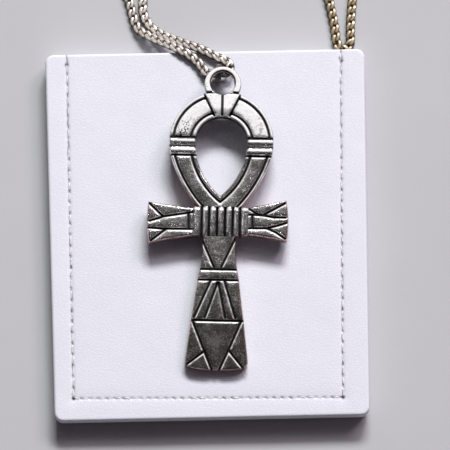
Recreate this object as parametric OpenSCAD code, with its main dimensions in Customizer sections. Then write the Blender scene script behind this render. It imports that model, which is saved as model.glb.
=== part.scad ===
// An ankh pendant on a fine chain, lying face up on a stitched display pad.
// Millimetres, +Z up. The origin is the middle of the pad's underside, +Y points from the foot to the ring.
// The pendant is first drawn flat in its own frame: its back on Z = 0, the bar crossing the stem at X = Y = 0.

/* [Loop] */
// Outer radius of the teardrop loop's round top
loop_r = 8.5; // [7.9:0.05:9]
// Width of the loop's band
loop_band = 4.25; // [3.7:0.05:4.5]
// Height of the loop's round centre above the crossing
loop_y = 13; // [12.5:0.05:13.6]
// Angle below the loop's middle where its bowed sides leave the round top, in degrees
loop_lean = 17; // [12:0.5:20]
// Distance from the loop's middle to the centres of its bowed sides
loop_bow = 13.5; // [12:0.1:16]
// Angle below the loop's middle where the hole's bowed sides leave its round top, in degrees
hole_lean = 4; // [1:0.5:8]
// Distance from the loop's middle to the centres of the hole's bowed sides
hole_bow = 8.15; // [7.5:0.05:9]
// Width of the loop's rim outside its outer cut
loop_rim = 0.48; // [0.4:0.02:0.8]
// Width of the rim round the teardrop hole
hole_rim = 0.63; // [0.5:0.02:0.8]
// Height of the gap between the two side bands
band_y = 12.3; // [11.6:0.1:13]
// Height of one side band
band_h = 1.15; // [0.9:0.05:1.3]
// Cut above, between and below the side bands
band_cut = 0.34; // [0.25:0.01:0.45]
// How far the side bands stand proud of the relief
band_proud = 0.12; // [0.05:0.01:0.25]

/* [Ring and keystone] */
// Radius of the hole in the hanging ring
ring_hole_r = 2.05; // [1.7:0.05:2.2]
// Wall of the hanging ring at its sides
ring_wall = 0.95; // [0.8:0.05:1.2]
// Height of the hole's centre above the ring's, which leaves the wall thinner at the top
ring_hole_up = 0.25; // [0:0.05:0.35]
// Thickness of the hanging ring
ring_t = 1.9; // [1.6:0.05:2.2]
// Distance from the loop's outer top up to the ring's centre
ring_rise = 1.2; // [1:0.05:1.6]
// Half width of the keystone's top
key_top = 3.1; // [2.7:0.05:3.3]
// Half width of the keystone's lower end
key_low = 1.2; // [1:0.05:1.5]
// Drop from the ring's centre to the keystone's top
key_drop = 1.5; // [1.3:0.05:1.7]
// Height of the keystone
key_h = 3.65; // [3.3:0.05:4]
// Width of the keystone's cuts
key_cut = 0.4; // [0.3:0.01:0.5]

/* [Cross bar] */
// Half width of the wrapped collar
wrap_w = 4.45; // [4.1:0.05:4.8]
// Half height of the wrapped collar
wrap_h = 2.38; // [2.3:0.02:2.6]
// Shift of the collar to the right of the stem's axis
wrap_shift = 0.18; // [0:0.02:0.3]
// How far the collar's ribs stand proud of the relief
wrap_proud = 0.3; // [0.1:0.02:0.5]
// Number of cuts between the collar's ribs
wrap_cuts = 6; // [5:1:7]
// Spacing of those cuts
wrap_pitch = 1.25; // [1.1:0.01:1.3]
// Width of those cuts
wrap_cut_w = 0.5; // [0.3:0.01:0.6]
// Length of the left arm beyond the collar
arm_left = 7.25; // [6.8:0.05:8]
// Length of the right arm beyond the collar
arm_right = 6.25; // [6:0.05:7.2]
// Half height of an arm where it leaves the collar
arm_root = 2.3; // [2:0.05:2.35]
// Half height of an arm at its end
arm_tip = 3.42; // [3:0.05:3.8]
// Bulge of an arm's end
arm_bulge = 0.3; // [0.1:0.02:0.5]
// Turn of the arms against the stem, in degrees
arm_turn = 1.7; // [0:0.1:2.5]

/* [Stem] */
// Length of the stem below the collar, to its corners
stem_l = 21.1; // [19:0.1:23]
// Half width of the stem under the collar
stem_top = 2.6; // [2.4:0.05:2.9]
// Half width of the stem at its foot
stem_foot = 5.2; // [4.6:0.05:5.8]
// Bulge of the foot's lower edge
foot_bulge = 0.75; // [0.4:0.05:1]

/* [Relief] */
// Thickness of the casting, back to relief
body_t = 2.4; // [2.1:0.05:2.8]
// Depth of the cuts in the relief
cut_d = 0.42; // [0.3:0.02:0.6]
// Width of the fine cuts
cut_w = 0.34; // [0.25:0.01:0.42]
// Width of the cuts across the stem
cross_cut_w = 0.46; // [0.35:0.01:0.55]

/* [Bail] */
// Outer radius of the tube bail behind the ring
bail_r = 1.45; // [1.35:0.05:1.6]
// Wall of the tube bail
bail_wall = 0.35; // [0.25:0.05:0.4]
// Length of the tube bail
bail_l = 1; // [0.8:0.05:1.2]
// Distance of the bail to the left of the ring's middle
bail_shift = 0.8; // [0.6:0.05:0.9]
// Depth that the bail is soldered into the ring's back
bail_sink = 0.2; // [0.1:0.02:0.3]

/* [Pad] */
// Width of the pad at its ring end
pad_top_w = 52.6; // [48:0.2:60]
// Width of the pad at its foot end
pad_low_w = 50.8; // [47:0.2:60]
// Length of the pad
pad_l = 61; // [59:0.5:70]
// Thickness of the pad
pad_t = 4; // [3.9:0.05:4.05]
// Corner radius of the pad
pad_corner = 1.4; // [0.8:0.1:3]

/* [Chain] */
// Width of the chain, flat
chain_w = 1.5; // [1.2:0.05:1.6]
// Height of the chain, lying
chain_h = 1.1; // [0.8:0.05:1.2]
// Mean radius of the ring clasp
clasp_r = 2.3; // [2:0.1:2.6]
// Wire diameter of the ring clasp
clasp_wire = 1.1; // [0.9:0.05:1.3]

/* [Placing] */
// Gap between the pad and what rests on it
rest_gap = 0.05; // [0.02:0.01:0.1]
// Sideways place of the crossing on the pad
lay_x = 1.85; // [1:0.05:3]
// Lengthwise place of the crossing on the pad
lay_y = 1.3; // [0.8:0.05:1.8]
// Clockwise turn of the pendant on the pad, in degrees
lay_turn = 2.5; // [2:0.1:3]

/* [Hidden] */
fine = 64;
past = 1;

ring_y = loop_y + loop_r + ring_rise;
ring_r = ring_hole_r + ring_wall;
key_y = ring_y - key_drop;
hole_r = loop_r - loop_band;
outer_cut_r = loop_r - loop_rim - cut_w / 2;
inner_cut_r = hole_r + hole_rim + cut_w / 2;
relief_z = body_t - cut_d;
bail_y = ring_y + sqrt(pow((ring_r + ring_hole_r) / 2, 2) - pow(bail_shift, 2));
bail_z = bail_sink - bail_r;
foot_y = -wrap_h - stem_l - foot_bulge;

// The pendant leans on its foot and on the bail: rise over span, with the bail's centre under the back.
span = bail_y - foot_y;
lay_tilt = asin(bail_r / sqrt(span * span + bail_z * bail_z)) + atan(-bail_z / span);

// Edges of the stem: share of its length, share of its flare.
STEM_EDGE = [[0, 0], [0.245, 0.14], [0.3, 0.25], [0.65, 0.64], [1, 1]];

// Fine cuts of the stem, as lines of points: share of its length, share of its half width there.
STEM_CUTS = [
    [[0.03, -1.04], [0.242, -0.25]],
    [[0.015, 1], [0.242, 0.145]],
    [[0.35, -0.37], [0.633, -0.9]],
    [[0.365, -0.04], [0.633, -0.49]],
    [[0.365, 0.02], [0.633, 0.3]],
    [[0.35, 0.305], [0.633, 0.69]],
    [[0.663, -0.92], [0.888, -0.41], [1.03, -0.14]],
    [[0.663, 0.88], [0.877, 0.39], [1.03, 0.09]],
    [[0.89, -0.41], [1, -0.96]],
    [[0.879, 0.4], [1.012, 0.83]]
];

// Heights of the cuts across the stem, as shares of its length.
CROSS_CUTS = [0.259, 0.341, 0.654];

// Fine cuts of the left arm: share of its length, share of its half height there.
LEFT_CUTS = [
    [[0.96, 0.88], [0.674, 0.29], [0, 0.68]],
    [[0.98, 0.06], [0.7, 0.25]],
    [[1, -0.27], [0.66, -0.37], [0, -0.52]],
    [[0.95, -0.9], [0.72, -0.57], [0.61, -0.4]],
    [[0.105, 0.58], [0.105, -0.5]]
];

// Fine cuts of the right arm, in the same shares.
RIGHT_CUTS = [
    [[0.02, 0.88], [0.24, 0.45], [0.38, 0.34], [0.647, 0.6], [0.95, 0.84]],
    [[0.02, 0.46], [0.38, 0.34], [0.647, 0.2], [0.97, 0.16]],
    [[0.02, -0.5], [0.48, -0.42], [0.72, -0.275], [0.99, -0.1]],
    [[0.48, -0.42], [0.71, -0.6], [0.95, -0.87]],
    [[0.11, 0.43], [0.11, -0.48]]
];

// The chain's route, middle of the chain in the pad's frame. It starts at the clasp and runs down the outer
// right side to the turn behind the pad. Then it goes back up and over on the inner side, through the bail
// and round outside again. Its points at the bail move with the bail, and the others with the pad's end.
// The last column is the number of steps to the next point.
CHAIN_ROUTE = [
    [8.6, 119.3, 0.6, 1], [14.7, 117.7, 0.6, 1], [21, 113.6, 0.6, 1], [26, 107.4, 0.6, 1],
    [28.6, 100, 0.6, 1], [29, 86, 0.6, 2], [28.6, 70, 0.6, 2], [27, 55, 0.6, 2],
    [25, 42, 0.6, 1], [24.3, 36.1, 0.6, 1], [24.15, 32.8, 0.6, 1], [23.8, 31.8, 0.6, 1],
    [23, 31.4, 0.6, 1], [22.2, 31.8, 0.6, 1], [21.85, 32.8, 0.6, 1], [21.5, 36.1, 0.6, 1],
    [20.2, 44, 0.6, 1], [19.2, 58, 0.6, 2], [19, 72, 0.6, 2], [19, 86, 0.6, 2],
    [18.6, 99.5, 0.6, 1], [15.9, 104.6, 0.6, 1], [11.2, 108.2, 0.6, 1], [5.5, 109.5, 0.6, 1],
    [-0.2, 108.2, 0.6, 1], [-4.9, 104.6, 0.6, 1], [-7.6, 99.5, 0.6, 1], [-8, 86, 0.6, 2],
    [-8, 72, 0.6, 2], [-8.3, 57, 0.6, 1], [-9.4, 45, 0.6, 1], [-10.1, 40, 0.6, 1],
    [-9.9, 37.7, 0.65, 1], [-9, 35.9, 0.95, 1], [-7.5, 34.5, 1.65, 1], [-5.8, 33.4, 2.5, 1],
    [-4, 32.4, 3.45, 1], [-2.4, 31.6, 4.15, 1], [-0.7, 30.8, 4.62, 1], [0.8, 30, 4.77, 1],
    [1.9, 29.4, 4.86, 1], [2.9, 28.9, 4.93, 1], [3.75, 28.32, 5.05, 1], [4.1, 27.53, 5.2, 1],
    [3.8, 26.73, 5.38, 1], [3, 26.4, 5.49, 1], [2.1, 26.41, 5.5, 1], [1.2, 26.38, 5.4, 1],
    [0.4, 26.63, 5.1, 1],
    [-0.3, 27.43, 4.85, 1], [-0.9, 28.3, 4.7, 1], [-1.8, 29.2, 4.65, 1], [-3.1, 30.2, 4.65, 1],
    [-4.5, 31, 4.5, 1], [-6.1, 32, 3.7, 1], [-7.7, 33, 2.7, 1], [-9.7, 34.3, 1.45, 1],
    [-11.1, 35.7, 0.75, 1], [-11.8, 37.8, 0.6, 1], [-12.5, 40.8, 0.6, 1], [-14.4, 47, 0.6, 2],
    [-16.6, 58, 0.6, 2], [-17.8, 72, 0.6, 2], [-18, 86, 0.6, 1], [-17.6, 100, 0.6, 1],
    [-15, 107.4, 0.6, 1], [-10, 113.6, 0.6, 1], [-3.7, 117.7, 0.6, 1], [2.4, 119.3, 0.6, 0]
];
// Places of the bail's bore and of the pad's end for which those points were chosen.
ROUTE_BAIL = [2.147, 26.4, 5.5];
ROUTE_END = 30.5;
CHAIN_SIDES = 8;
CLASP_AT = [5.5, 119.5];

function stem_y(share) = -wrap_h - share * stem_l;
function stem_half(share) = stem_top + (stem_foot - stem_top) * lookup(share, STEM_EDGE);
function stem_point(p) = [p[1] * stem_half(p[0]), stem_y(p[0])];
function arm_half(share) = arm_root + share * (arm_tip - arm_root);
function arm_point(p, root_x, length) = [root_x + p[0] * length, p[1] * arm_half(p[0])];
function arc_points(c, r, from, to, steps) =
    [for (i = [0 : steps]) let (a = from + (to - from) * i / steps) c + r * [cos(a), sin(a)]];

// A teardrop about the loop's centre: a round top of radius r, and two bowed sides that meet in a tip below.
// The sides are arcs about centres at the distance bow, and they leave the round top at the angle lean.
module teardrop(r, lean, bow) {
    translate([0, loop_y]) {
        circle(r, $fn = fine);
        intersection() {
            side_centre(lean, bow, 1) circle(bow + r, $fn = fine);
            side_centre(lean, bow, -1) circle(bow + r, $fn = fine);
            translate([-r * cos(lean), -bow - r])
                square([2 * r * cos(lean), bow + r - r * sin(lean)]);
        }
    }
}

// Moves what follows to the centre of one bowed side.
module side_centre(lean, bow, side) {
    translate([side * bow * cos(lean), bow * sin(lean)]) children();
}

// A flat bar along each stretch of a line of points, longer by half its width at each end.
module cut_line(points, w) {
    for (i = [0 : len(points) - 2]) {
        step = points[i + 1] - points[i];
        turn = atan2(step[1], step[0]);
        translate(points[i]) rotate(turn) translate([-w / 2, -w / 2]) square([norm(step) + w, w]);
    }
}

// The keystone between the ring and the loop, with a little more above it.
module keystone_2d() {
    polygon([
        [-key_top, key_y + past],
        [-key_top, key_y],
        [-key_low, key_y - key_h],
        [key_low, key_y - key_h],
        [key_top, key_y],
        [key_top, key_y + past]
    ]);
}

// Both side bands as one strip across the loop.
module bands_2d() {
    half = band_cut / 2 + band_h;
    translate([-loop_r - past, band_y - half]) square([2 * (loop_r + past), 2 * half]);
}

// The collar, wider by the given amount at each end.
module wrap_2d(grow) {
    translate([wrap_shift - wrap_w - grow, -wrap_h]) square([2 * (wrap_w + grow), 2 * wrap_h]);
}

// The flared stem with its bulged foot.
module stem_2d() {
    left = [for (s = STEM_EDGE) stem_point([s[0], -1])];
    right = [for (i = [len(STEM_EDGE) - 1 : -1 : 0]) stem_point([STEM_EDGE[i][0], 1])];
    foot = [for (t = [-0.75 : 0.25 : 0.75]) [t * stem_foot, stem_y(1) - foot_bulge * (1 - t * t)]];
    polygon(concat([[-stem_top, 0]], left, foot, right, [[stem_top, 0]]));
}

// One flared arm from its root at the collar; a negative length points it to the left.
module arm_2d(root_x, length) {
    side = sign(length);
    inner_x = root_x - side * past;
    root = [[inner_x, arm_root], [inner_x, -arm_root], [root_x, -arm_root]];
    tip = [for (t = [-1 : 0.25 : 1]) [root_x + length + side * arm_bulge * (1 - t * t), t * arm_tip]];
    polygon(concat(root, tip, [[root_x, arm_root]]));
}

// The whole casting seen from the front, without the ring.
module outline_2d() {
    difference() {
        union() {
            teardrop(loop_r, loop_lean, loop_bow);
            intersection() {
                keystone_2d();
                translate([-key_top, 0]) square([2 * key_top, key_y]);
            }
        }
        teardrop(hole_r, hole_lean, hole_bow);
    }
    wrap_2d(0);
    stem_2d();
    rotate(arm_turn) {
        arm_2d(wrap_shift + wrap_w, arm_right);
        arm_2d(wrap_shift - wrap_w, -arm_left);
    }
}

// Every fine cut of the relief, seen from the front.
module cuts_2d() {
    difference() {
        union() {
            difference() {
                teardrop(outer_cut_r + cut_w / 2, loop_lean, loop_bow);
                teardrop(outer_cut_r - cut_w / 2, loop_lean, loop_bow);
            }
            difference() {
                teardrop(inner_cut_r + cut_w / 2, hole_lean, hole_bow);
                teardrop(inner_cut_r - cut_w / 2, hole_lean, hole_bow);
            }
        }
        bands_2d();
        keystone_2d();
        translate([-loop_r, -loop_r]) square([2 * loop_r, loop_r + wrap_h]);
    }
    intersection() {
        teardrop(loop_r + past, loop_lean, loop_bow);
        for (k = [-1, 0, 1]) {
            h = k == 0 ? 0 : k * (band_cut + band_h);
            translate([-loop_r - past, band_y + h - band_cut / 2]) square([2 * (loop_r + past), band_cut]);
        }
    }
    for (side = [-1, 1])
        cut_line([[side * key_top, key_y + cut_w], [side * key_low, key_y - key_h]], key_cut);
    cut_line([[0, key_y], [0, key_y - key_h]], key_cut);
    for (line = STEM_CUTS) cut_line([for (p = line) stem_point(p)], cut_w);
    for (share = CROSS_CUTS) {
        w = 2 * (stem_half(share) + cut_w);
        translate([-w / 2, stem_y(share) - cross_cut_w / 2]) square([w, cross_cut_w]);
    }
    rotate(arm_turn) {
        for (line = RIGHT_CUTS)
            cut_line([for (p = line) arm_point(p, wrap_shift + wrap_w, arm_right)], cut_w);
        for (line = LEFT_CUTS)
            cut_line([for (p = line) arm_point(p, wrap_shift - wrap_w, -arm_left)], cut_w);
    }
}

// The solid disc of the hanging ring. Its hole is cut from the whole casting.
module hanging_ring() {
    translate([0, ring_y, 0]) cylinder(h = ring_t, r = ring_r, $fn = fine);
}

// The two bands a side that stand proud of the loop.
module side_bands() {
    for (side = [-1, 1]) intersection() {
        linear_extrude(body_t + band_proud) difference() {
            teardrop(loop_r, loop_lean, loop_bow);
            teardrop(hole_r, hole_lean, hole_bow);
        }
        translate([-loop_r, band_y + side * (band_cut + band_h) / 2 - band_h / 2, 0])
            cube([2 * loop_r, band_h, body_t + band_proud]);
    }
}

// The collar's block, cut into ribs like a cord wound round the crossing.
module wrapped_collar() {
    first = -(wrap_cuts - 1) / 2 * wrap_pitch;
    top = body_t + wrap_proud;
    difference() {
        linear_extrude(top) wrap_2d(0);
        for (i = [0 : wrap_cuts - 1])
            translate([wrap_shift + first + i * wrap_pitch - wrap_cut_w / 2, -wrap_h - past, relief_z])
                cube([wrap_cut_w, 2 * (wrap_h + past), top]);
    }
}

// The short tube soldered to the ring's back that the chain runs through.
module tube_bail() {
    translate([-bail_shift, bail_y, bail_z]) rotate([0, 90, 0]) difference() {
        cylinder(h = bail_l, r = bail_r, center = true, $fn = fine);
        cylinder(h = bail_l + past, r = bail_r - bail_wall, center = true, $fn = fine);
    }
}

// The whole casting in its own frame.
module ankh() {
    difference() {
        union() {
            difference() {
                linear_extrude(body_t) outline_2d();
                translate([0, 0, relief_z]) linear_extrude(body_t) cuts_2d();
                translate([0, 0, relief_z]) linear_extrude(body_t) wrap_2d(cut_w);
            }
            hanging_ring();
            side_bands();
            wrapped_collar();
        }
        translate([0, ring_y + ring_hole_up, -past])
            cylinder(h = body_t + 2 * past, r = ring_hole_r, $fn = fine);
    }
    tube_bail();
}

// The casting leaned on its foot and bail, turned and moved to its place on the pad.
module pendant() {
    color([0.62, 0.62, 0.62])
        translate([lay_x, lay_y, pad_t + rest_gap])
            rotate([0, 0, -lay_turn])
                translate([0, foot_y, 0]) rotate([lay_tilt, 0, 0]) translate([0, -foot_y, 0])
                    ankh();
}

// A smooth curve through the route: each stretch is a cubic that takes its slopes from the points beside it.
function spline(a, b, c, d, t) =
    0.5 * (2 * b + (c - a) * t + (2 * a - 5 * b + 4 * c - d) * t * t + (3 * b - a - 3 * c + d) * t * t * t);
function laid(p) =
    let (
        y = (p[1] - foot_y) * cos(lay_tilt) - p[2] * sin(lay_tilt) + foot_y,
        z = (p[1] - foot_y) * sin(lay_tilt) + p[2] * cos(lay_tilt)
    )
    [
        lay_x + p[0] * cos(lay_turn) + y * sin(lay_turn),
        lay_y - p[0] * sin(lay_turn) + y * cos(lay_turn),
        pad_t + rest_gap + z
    ];
function route_point(i) =
    let (
        p = CHAIN_ROUTE[max(0, min(len(CHAIN_ROUTE) - 1, i))],
        near_bail = max(0, min(1, ROUTE_END - p[1])),
        with_bail = laid([-bail_shift, bail_y, bail_z]) - ROUTE_BAIL,
        with_end = [0, pad_l / 2 - ROUTE_END, 0]
    )
    [p[0], p[1], p[2]] + near_bail * with_bail + (1 - near_bail) * with_end;
function route_at(i, t) =
    spline(route_point(i - 1), route_point(i), route_point(i + 1), route_point(i + 2), t);
function route_curve() = concat(
    [for (i = [0 : len(CHAIN_ROUTE) - 2]) for (k = [0 : CHAIN_ROUTE[i][3] - 1])
        route_at(i, k / CHAIN_ROUTE[i][3])],
    [route_point(len(CHAIN_ROUTE) - 1)]
);

// The chain as a tube of eight flat sides that stands in for its links.
module chain() {
    curve = route_curve();
    rings = len(curve);
    points = [for (i = [0 : rings - 1])
        let (
            along = curve[min(i + 1, rings - 1)] - curve[max(i - 1, 0)],
            flat = cross([0, 0, 1], along),
            across = flat / norm(flat),
            up = cross(along, across) / norm(along)
        )
        for (k = [0 : CHAIN_SIDES - 1])
            let (a = (k + 0.5) * 360 / CHAIN_SIDES)
            curve[i] + across * chain_w / 2 * cos(a) + up * chain_h / 2 * sin(a)];
    walls = [for (i = [0 : rings - 2]) for (k = [0 : CHAIN_SIDES - 1])
        let (n = (k + 1) % CHAIN_SIDES)
        [i * CHAIN_SIDES + k, i * CHAIN_SIDES + n, (i + 1) * CHAIN_SIDES + n, (i + 1) * CHAIN_SIDES + k]];
    first_cap = [for (k = [CHAIN_SIDES - 1 : -1 : 0]) k];
    last_cap = [for (k = [0 : CHAIN_SIDES - 1]) (rings - 1) * CHAIN_SIDES + k];
    color([0.72, 0.68, 0.58]) polyhedron(points, concat(walls, [first_cap, last_cap]), convexity = 10);
}

// A plain ring clasp lying flat, with its small thumb peg.
module clasp() {
    color([0.72, 0.68, 0.58])
        translate([CLASP_AT[0], CLASP_AT[1] + pad_l / 2 - ROUTE_END, clasp_wire / 2 + rest_gap]) {
            rotate_extrude($fn = fine) translate([clasp_r, 0]) circle(clasp_wire / 2, $fn = 24);
            translate([0, clasp_r + clasp_wire / 2, 0]) rotate([90, 0, 0])
                cylinder(h = clasp_wire, r = clasp_wire * 0.4, center = true, $fn = 24);
        }
}

// The pad, narrower at its foot end.
module display_pad() {
    half_l = pad_l / 2 - pad_corner;
    corners = [
        [[pad_top_w / 2 - pad_corner, half_l], 0],
        [[-pad_top_w / 2 + pad_corner, half_l], 90],
        [[-pad_low_w / 2 + pad_corner, -half_l], 180],
        [[pad_low_w / 2 - pad_corner, -half_l], 270]
    ];
    color([0.93, 0.92, 0.95]) linear_extrude(pad_t)
        polygon([for (c = corners) each arc_points(c[0], pad_corner, c[1], c[1] + 90, 6)]);
}

pendant();
chain();
clasp();
display_pad();
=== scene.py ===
"""Dresses the ankh pendant, its curb chain, the spring ring clasp and the stitched display pad.

Every shape is worked out in millimetres in the frame of the CAD model and put into the meshes in metres.
"""

import logging
from dataclasses import dataclass
from enum import Enum
from typing import Callable, NamedTuple, Sequence

import bpy
import numpy as np
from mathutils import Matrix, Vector, geometry


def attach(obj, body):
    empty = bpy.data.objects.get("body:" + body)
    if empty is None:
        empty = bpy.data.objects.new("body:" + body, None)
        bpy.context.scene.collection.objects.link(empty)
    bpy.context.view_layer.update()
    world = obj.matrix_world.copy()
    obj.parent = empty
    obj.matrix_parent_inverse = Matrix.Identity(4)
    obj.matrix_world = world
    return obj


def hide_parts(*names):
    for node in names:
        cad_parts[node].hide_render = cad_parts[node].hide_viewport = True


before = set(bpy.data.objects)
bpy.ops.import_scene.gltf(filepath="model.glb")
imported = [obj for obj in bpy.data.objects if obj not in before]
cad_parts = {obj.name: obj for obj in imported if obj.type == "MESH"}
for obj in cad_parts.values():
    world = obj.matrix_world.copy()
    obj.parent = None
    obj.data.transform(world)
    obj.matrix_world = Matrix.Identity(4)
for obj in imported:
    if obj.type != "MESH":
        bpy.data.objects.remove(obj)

log = logging.getLogger("ankh_pendant")

MM = 0.001
Array = np.ndarray
Colour = tuple[float, float, float, float]
Layers = Sequence[tuple[float, int, float]]
Pair = tuple[float, float]
Triple = tuple[float, float, float]
Socket = bpy.types.NodeSocket
Piece = bpy.types.Object

# Stand-ins in millimetres: a distance beyond any cut, a height below any form, and the slack at an edge.
FAR = 9.0
NO_FORM = -9.0
SLACK = 1e-3
TINY = 1e-12


# Shapes in the plane


def to_polygon(x: Array, y: Array, corners: Array) -> Array:
    """Signed distance to a polygon, negative inside.

    The size is the least distance to any side. The sign turns over at each side that a ray to +X crosses.

    Args:
        x, y: The points.
        corners: The polygon's corners in order, one row each.

    Returns:
        The distance of each point.
    """
    nearest = np.full(np.shape(x), np.inf)
    inside = np.zeros(np.shape(x), bool)
    for (ax, ay), (bx, by) in zip(corners, np.roll(corners, -1, axis=0)):
        ex, ey = bx - ax, by - ay
        share = np.clip(((x - ax) * ex + (y - ay) * ey) / max(ex * ex + ey * ey, TINY), 0, 1)
        nearest = np.minimum(nearest, (x - ax - share * ex) ** 2 + (y - ay - share * ey) ** 2)
        if ay != by:
            inside ^= ((ay > y) != (by > y)) & (x < ax + (y - ay) * ex / ey)
    return np.where(inside, -1.0, 1.0) * np.sqrt(nearest)


def to_line(x: Array, y: Array, points: Sequence[Sequence[float]]) -> Array:
    """Distance to an open line of points: the least over its stretches.

    Args:
        x: X of the points to measure.
        y: Y of the points to measure.
        points: The line's points in order.

    Returns:
        The distance of each point.
    """
    nearest = np.full(np.shape(x), np.inf)
    for (ax, ay), (bx, by) in zip(points[:-1], points[1:]):
        ex, ey = bx - ax, by - ay
        share = np.clip(((x - ax) * ex + (y - ay) * ey) / (ex * ex + ey * ey), 0, 1)
        nearest = np.minimum(nearest, np.hypot(x - ax - share * ex, y - ay - share * ey))
    return nearest


def to_lines(x: Array, y: Array, lines: Sequence[Sequence[Sequence[float]]]) -> Array:
    """Distance to the nearest of several open lines."""
    return np.minimum.reduce([to_line(x, y, line) for line in lines])


def to_box(x: Array, y: Array, half_x: Array | float, half_y: float) -> Array:
    """Signed distance to a rectangle about the origin: beyond a corner it is the straight line to it.

    Args:
        x, y: The points.
        half_x: Half the rectangle's width.
        half_y: Half the rectangle's height.

    Returns:
        The distance of each point, negative inside.
    """
    over_x, over_y = np.abs(x) - half_x, np.abs(y) - half_y
    outside = np.hypot(np.maximum(over_x, 0), np.maximum(over_y, 0))
    return outside + np.minimum(np.maximum(over_x, over_y), 0)


def turn(x: Array | float, y: Array | float, degrees: float) -> tuple[Array | float, Array | float]:
    """X and Y turned about the origin by an angle in degrees."""
    a = np.radians(degrees)
    return x * np.cos(a) - y * np.sin(a), x * np.sin(a) + y * np.cos(a)


def unit(vectors: Array) -> Array:
    """The vectors at length 1."""
    return vectors / np.linalg.norm(vectors, axis=-1)[..., None]


# Profiles of a distance, and unevenness


def ramp(distance: Array, length: float) -> Array:
    """Rises evenly from 0 at no distance to 1 at the length, and is level before and after."""
    return np.clip(distance / length, 0, 1)


def bell(distance: Array, reach: float) -> Array:
    """Falls from 1 at no distance: e to the minus of the squared share of the reach."""
    return np.exp(-((distance / reach) ** 2))


def patch(x: Array, y: Array, middle: Pair, reach: Pair) -> Array:
    """A soft oval patch: e to the minus of the sum of the squared shares of its two reaches."""
    return np.exp(-(((x - middle[0]) / reach[0]) ** 2 + ((y - middle[1]) / reach[1]) ** 2))


def groove(distance: Array, half: Array | float, power: float = 2, strength: float = 1) -> Array:
    """Strength times one less a power of the distance's share of the half width, kept between 0 and 1."""
    return np.clip(strength * (1 - (distance / half) ** power), 0, 1)


def shoulder(depth: Array, radius: float, drop: float) -> Array:
    """Height lost beside an edge: a quarter ellipse that starts at the drop and is level after one radius.

    Args:
        depth: How far inside the edge each point is, 0 or more.
        radius: Width of the rounding.
        drop: Height lost at the edge itself.

    Returns:
        The loss at each point.
    """
    share = 1 - np.clip(depth / radius, 0, 1)
    return drop * (1 - np.sqrt(1 - share * share))


def ripple(x: Array, y: Array, pitch: float, seed: int) -> Array:
    """Soft seeded unevenness from -1 to 1: random heights on a square lattice, eased between its points.

    Args:
        x, y: The points.
        pitch: Side of the lattice's squares.
        seed: Seed of the random heights.

    Returns:
        The unevenness of each point.
    """
    side = 256
    lattice = np.random.default_rng(seed).uniform(-1, 1, (side, side))
    u, v = x / pitch + side / 2, y / pitch + side / 2
    i, j = np.floor(u).astype(int), np.floor(v).astype(int)
    s, t = u - i, v - j
    s, t = s * s * (3 - 2 * s), t * t * (3 - 2 * t)
    i0, i1, j0, j1 = i % side, (i + 1) % side, j % side, (j + 1) % side
    low = lattice[i0, j0] * (1 - s) + lattice[i1, j0] * s
    high = lattice[i0, j1] * (1 - s) + lattice[i1, j1] * s
    return low * (1 - t) + high * t


def ripples(x: Array, y: Array, layers: Layers) -> Array:
    """Layers of unevenness added up, each given as its pitch, its seed and its share."""
    return sum(share * ripple(x, y, pitch, seed) for pitch, seed, share in layers)


# Meshes


def make_piece(
    name: str,
    points_mm: Array,
    faces: Array,
    attributes: dict[str, Array] | None = None,
    sharp_deg: float = 50.0,
) -> Piece:
    """Puts points and faces into a new mesh at the origin, in metres.

    Args:
        name: The piece's name.
        points_mm: One row a vertex, in millimetres.
        faces: One row a face, three or four vertex numbers; a triangle among quads repeats its last number.
        attributes: Values for each vertex that the materials read.
        sharp_deg: Edges that turn by more than this are shaded sharp.

    Returns:
        The new object.
    """
    mesh = bpy.data.meshes.new(name)
    faces = np.asarray(faces)
    if faces.shape[1] == 4:
        triangle = faces[:, 2] == faces[:, 3]
        listed = [*faces[~triangle].tolist(), *faces[triangle][:, :3].tolist()]
    else:
        listed = faces.tolist()
    mesh.from_pydata((np.asarray(points_mm, float) * MM).tolist(), [], listed)
    for key, values in (attributes or {}).items():
        layer = mesh.attributes.new(key, "FLOAT", "POINT")
        layer.data.foreach_set("value", np.asarray(values, np.float32))
    mesh.polygons.foreach_set("use_smooth", np.ones(len(mesh.polygons), bool))
    mesh.set_sharp_from_angle(angle=np.radians(sharp_deg))
    mesh.validate()
    mesh.update()
    piece = bpy.data.objects.new(name, mesh)
    bpy.context.scene.collection.objects.link(piece)
    return piece


def grid_faces(rows: int, columns: int, wrap_rows: bool = False, wrap_columns: bool = False) -> Array:
    """Quads of a grid of vertices numbered row by row.

    Args:
        rows: Number of rows of vertices.
        columns: Vertices in a row.
        wrap_rows: Joins the last row to the first.
        wrap_columns: Joins each row's end to its start.

    Returns:
        One row of four vertex numbers a quad.
    """
    i = np.arange(rows if wrap_rows else rows - 1)[:, None]
    j = np.arange(columns if wrap_columns else columns - 1)[None, :]
    i1, j1 = (i + 1) % rows, (j + 1) % columns
    corners = [i * columns + j, i * columns + j1, i1 * columns + j1, i1 * columns + j]
    return np.stack([np.broadcast_to(c, np.broadcast(i, j).shape).ravel() for c in corners], axis=1)


def tube_along(path: Array, across: Array, up: Array, radius: Array | float, sides: int) -> Array:
    """Rings of a round tube: centre plus radius times (cos a across + sin a up) at even angles a.

    Args:
        path: Centre of each ring.
        across: Unit vector of each ring.
        up: Unit vector of each ring, square to across.
        radius: One radius, or one a ring.
        sides: Vertices in a ring.

    Returns:
        All vertices, ring by ring.
    """
    angle = np.arange(sides) * 2 * np.pi / sides
    radius = np.broadcast_to(np.asarray(radius, float), path.shape[:-1])[..., None, None]
    spokes = np.cos(angle)[:, None] * across[..., None, :] + np.sin(angle)[:, None] * up[..., None, :]
    return (path[..., None, :] + radius * spokes).reshape(-1, 3)


# Finishes


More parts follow.
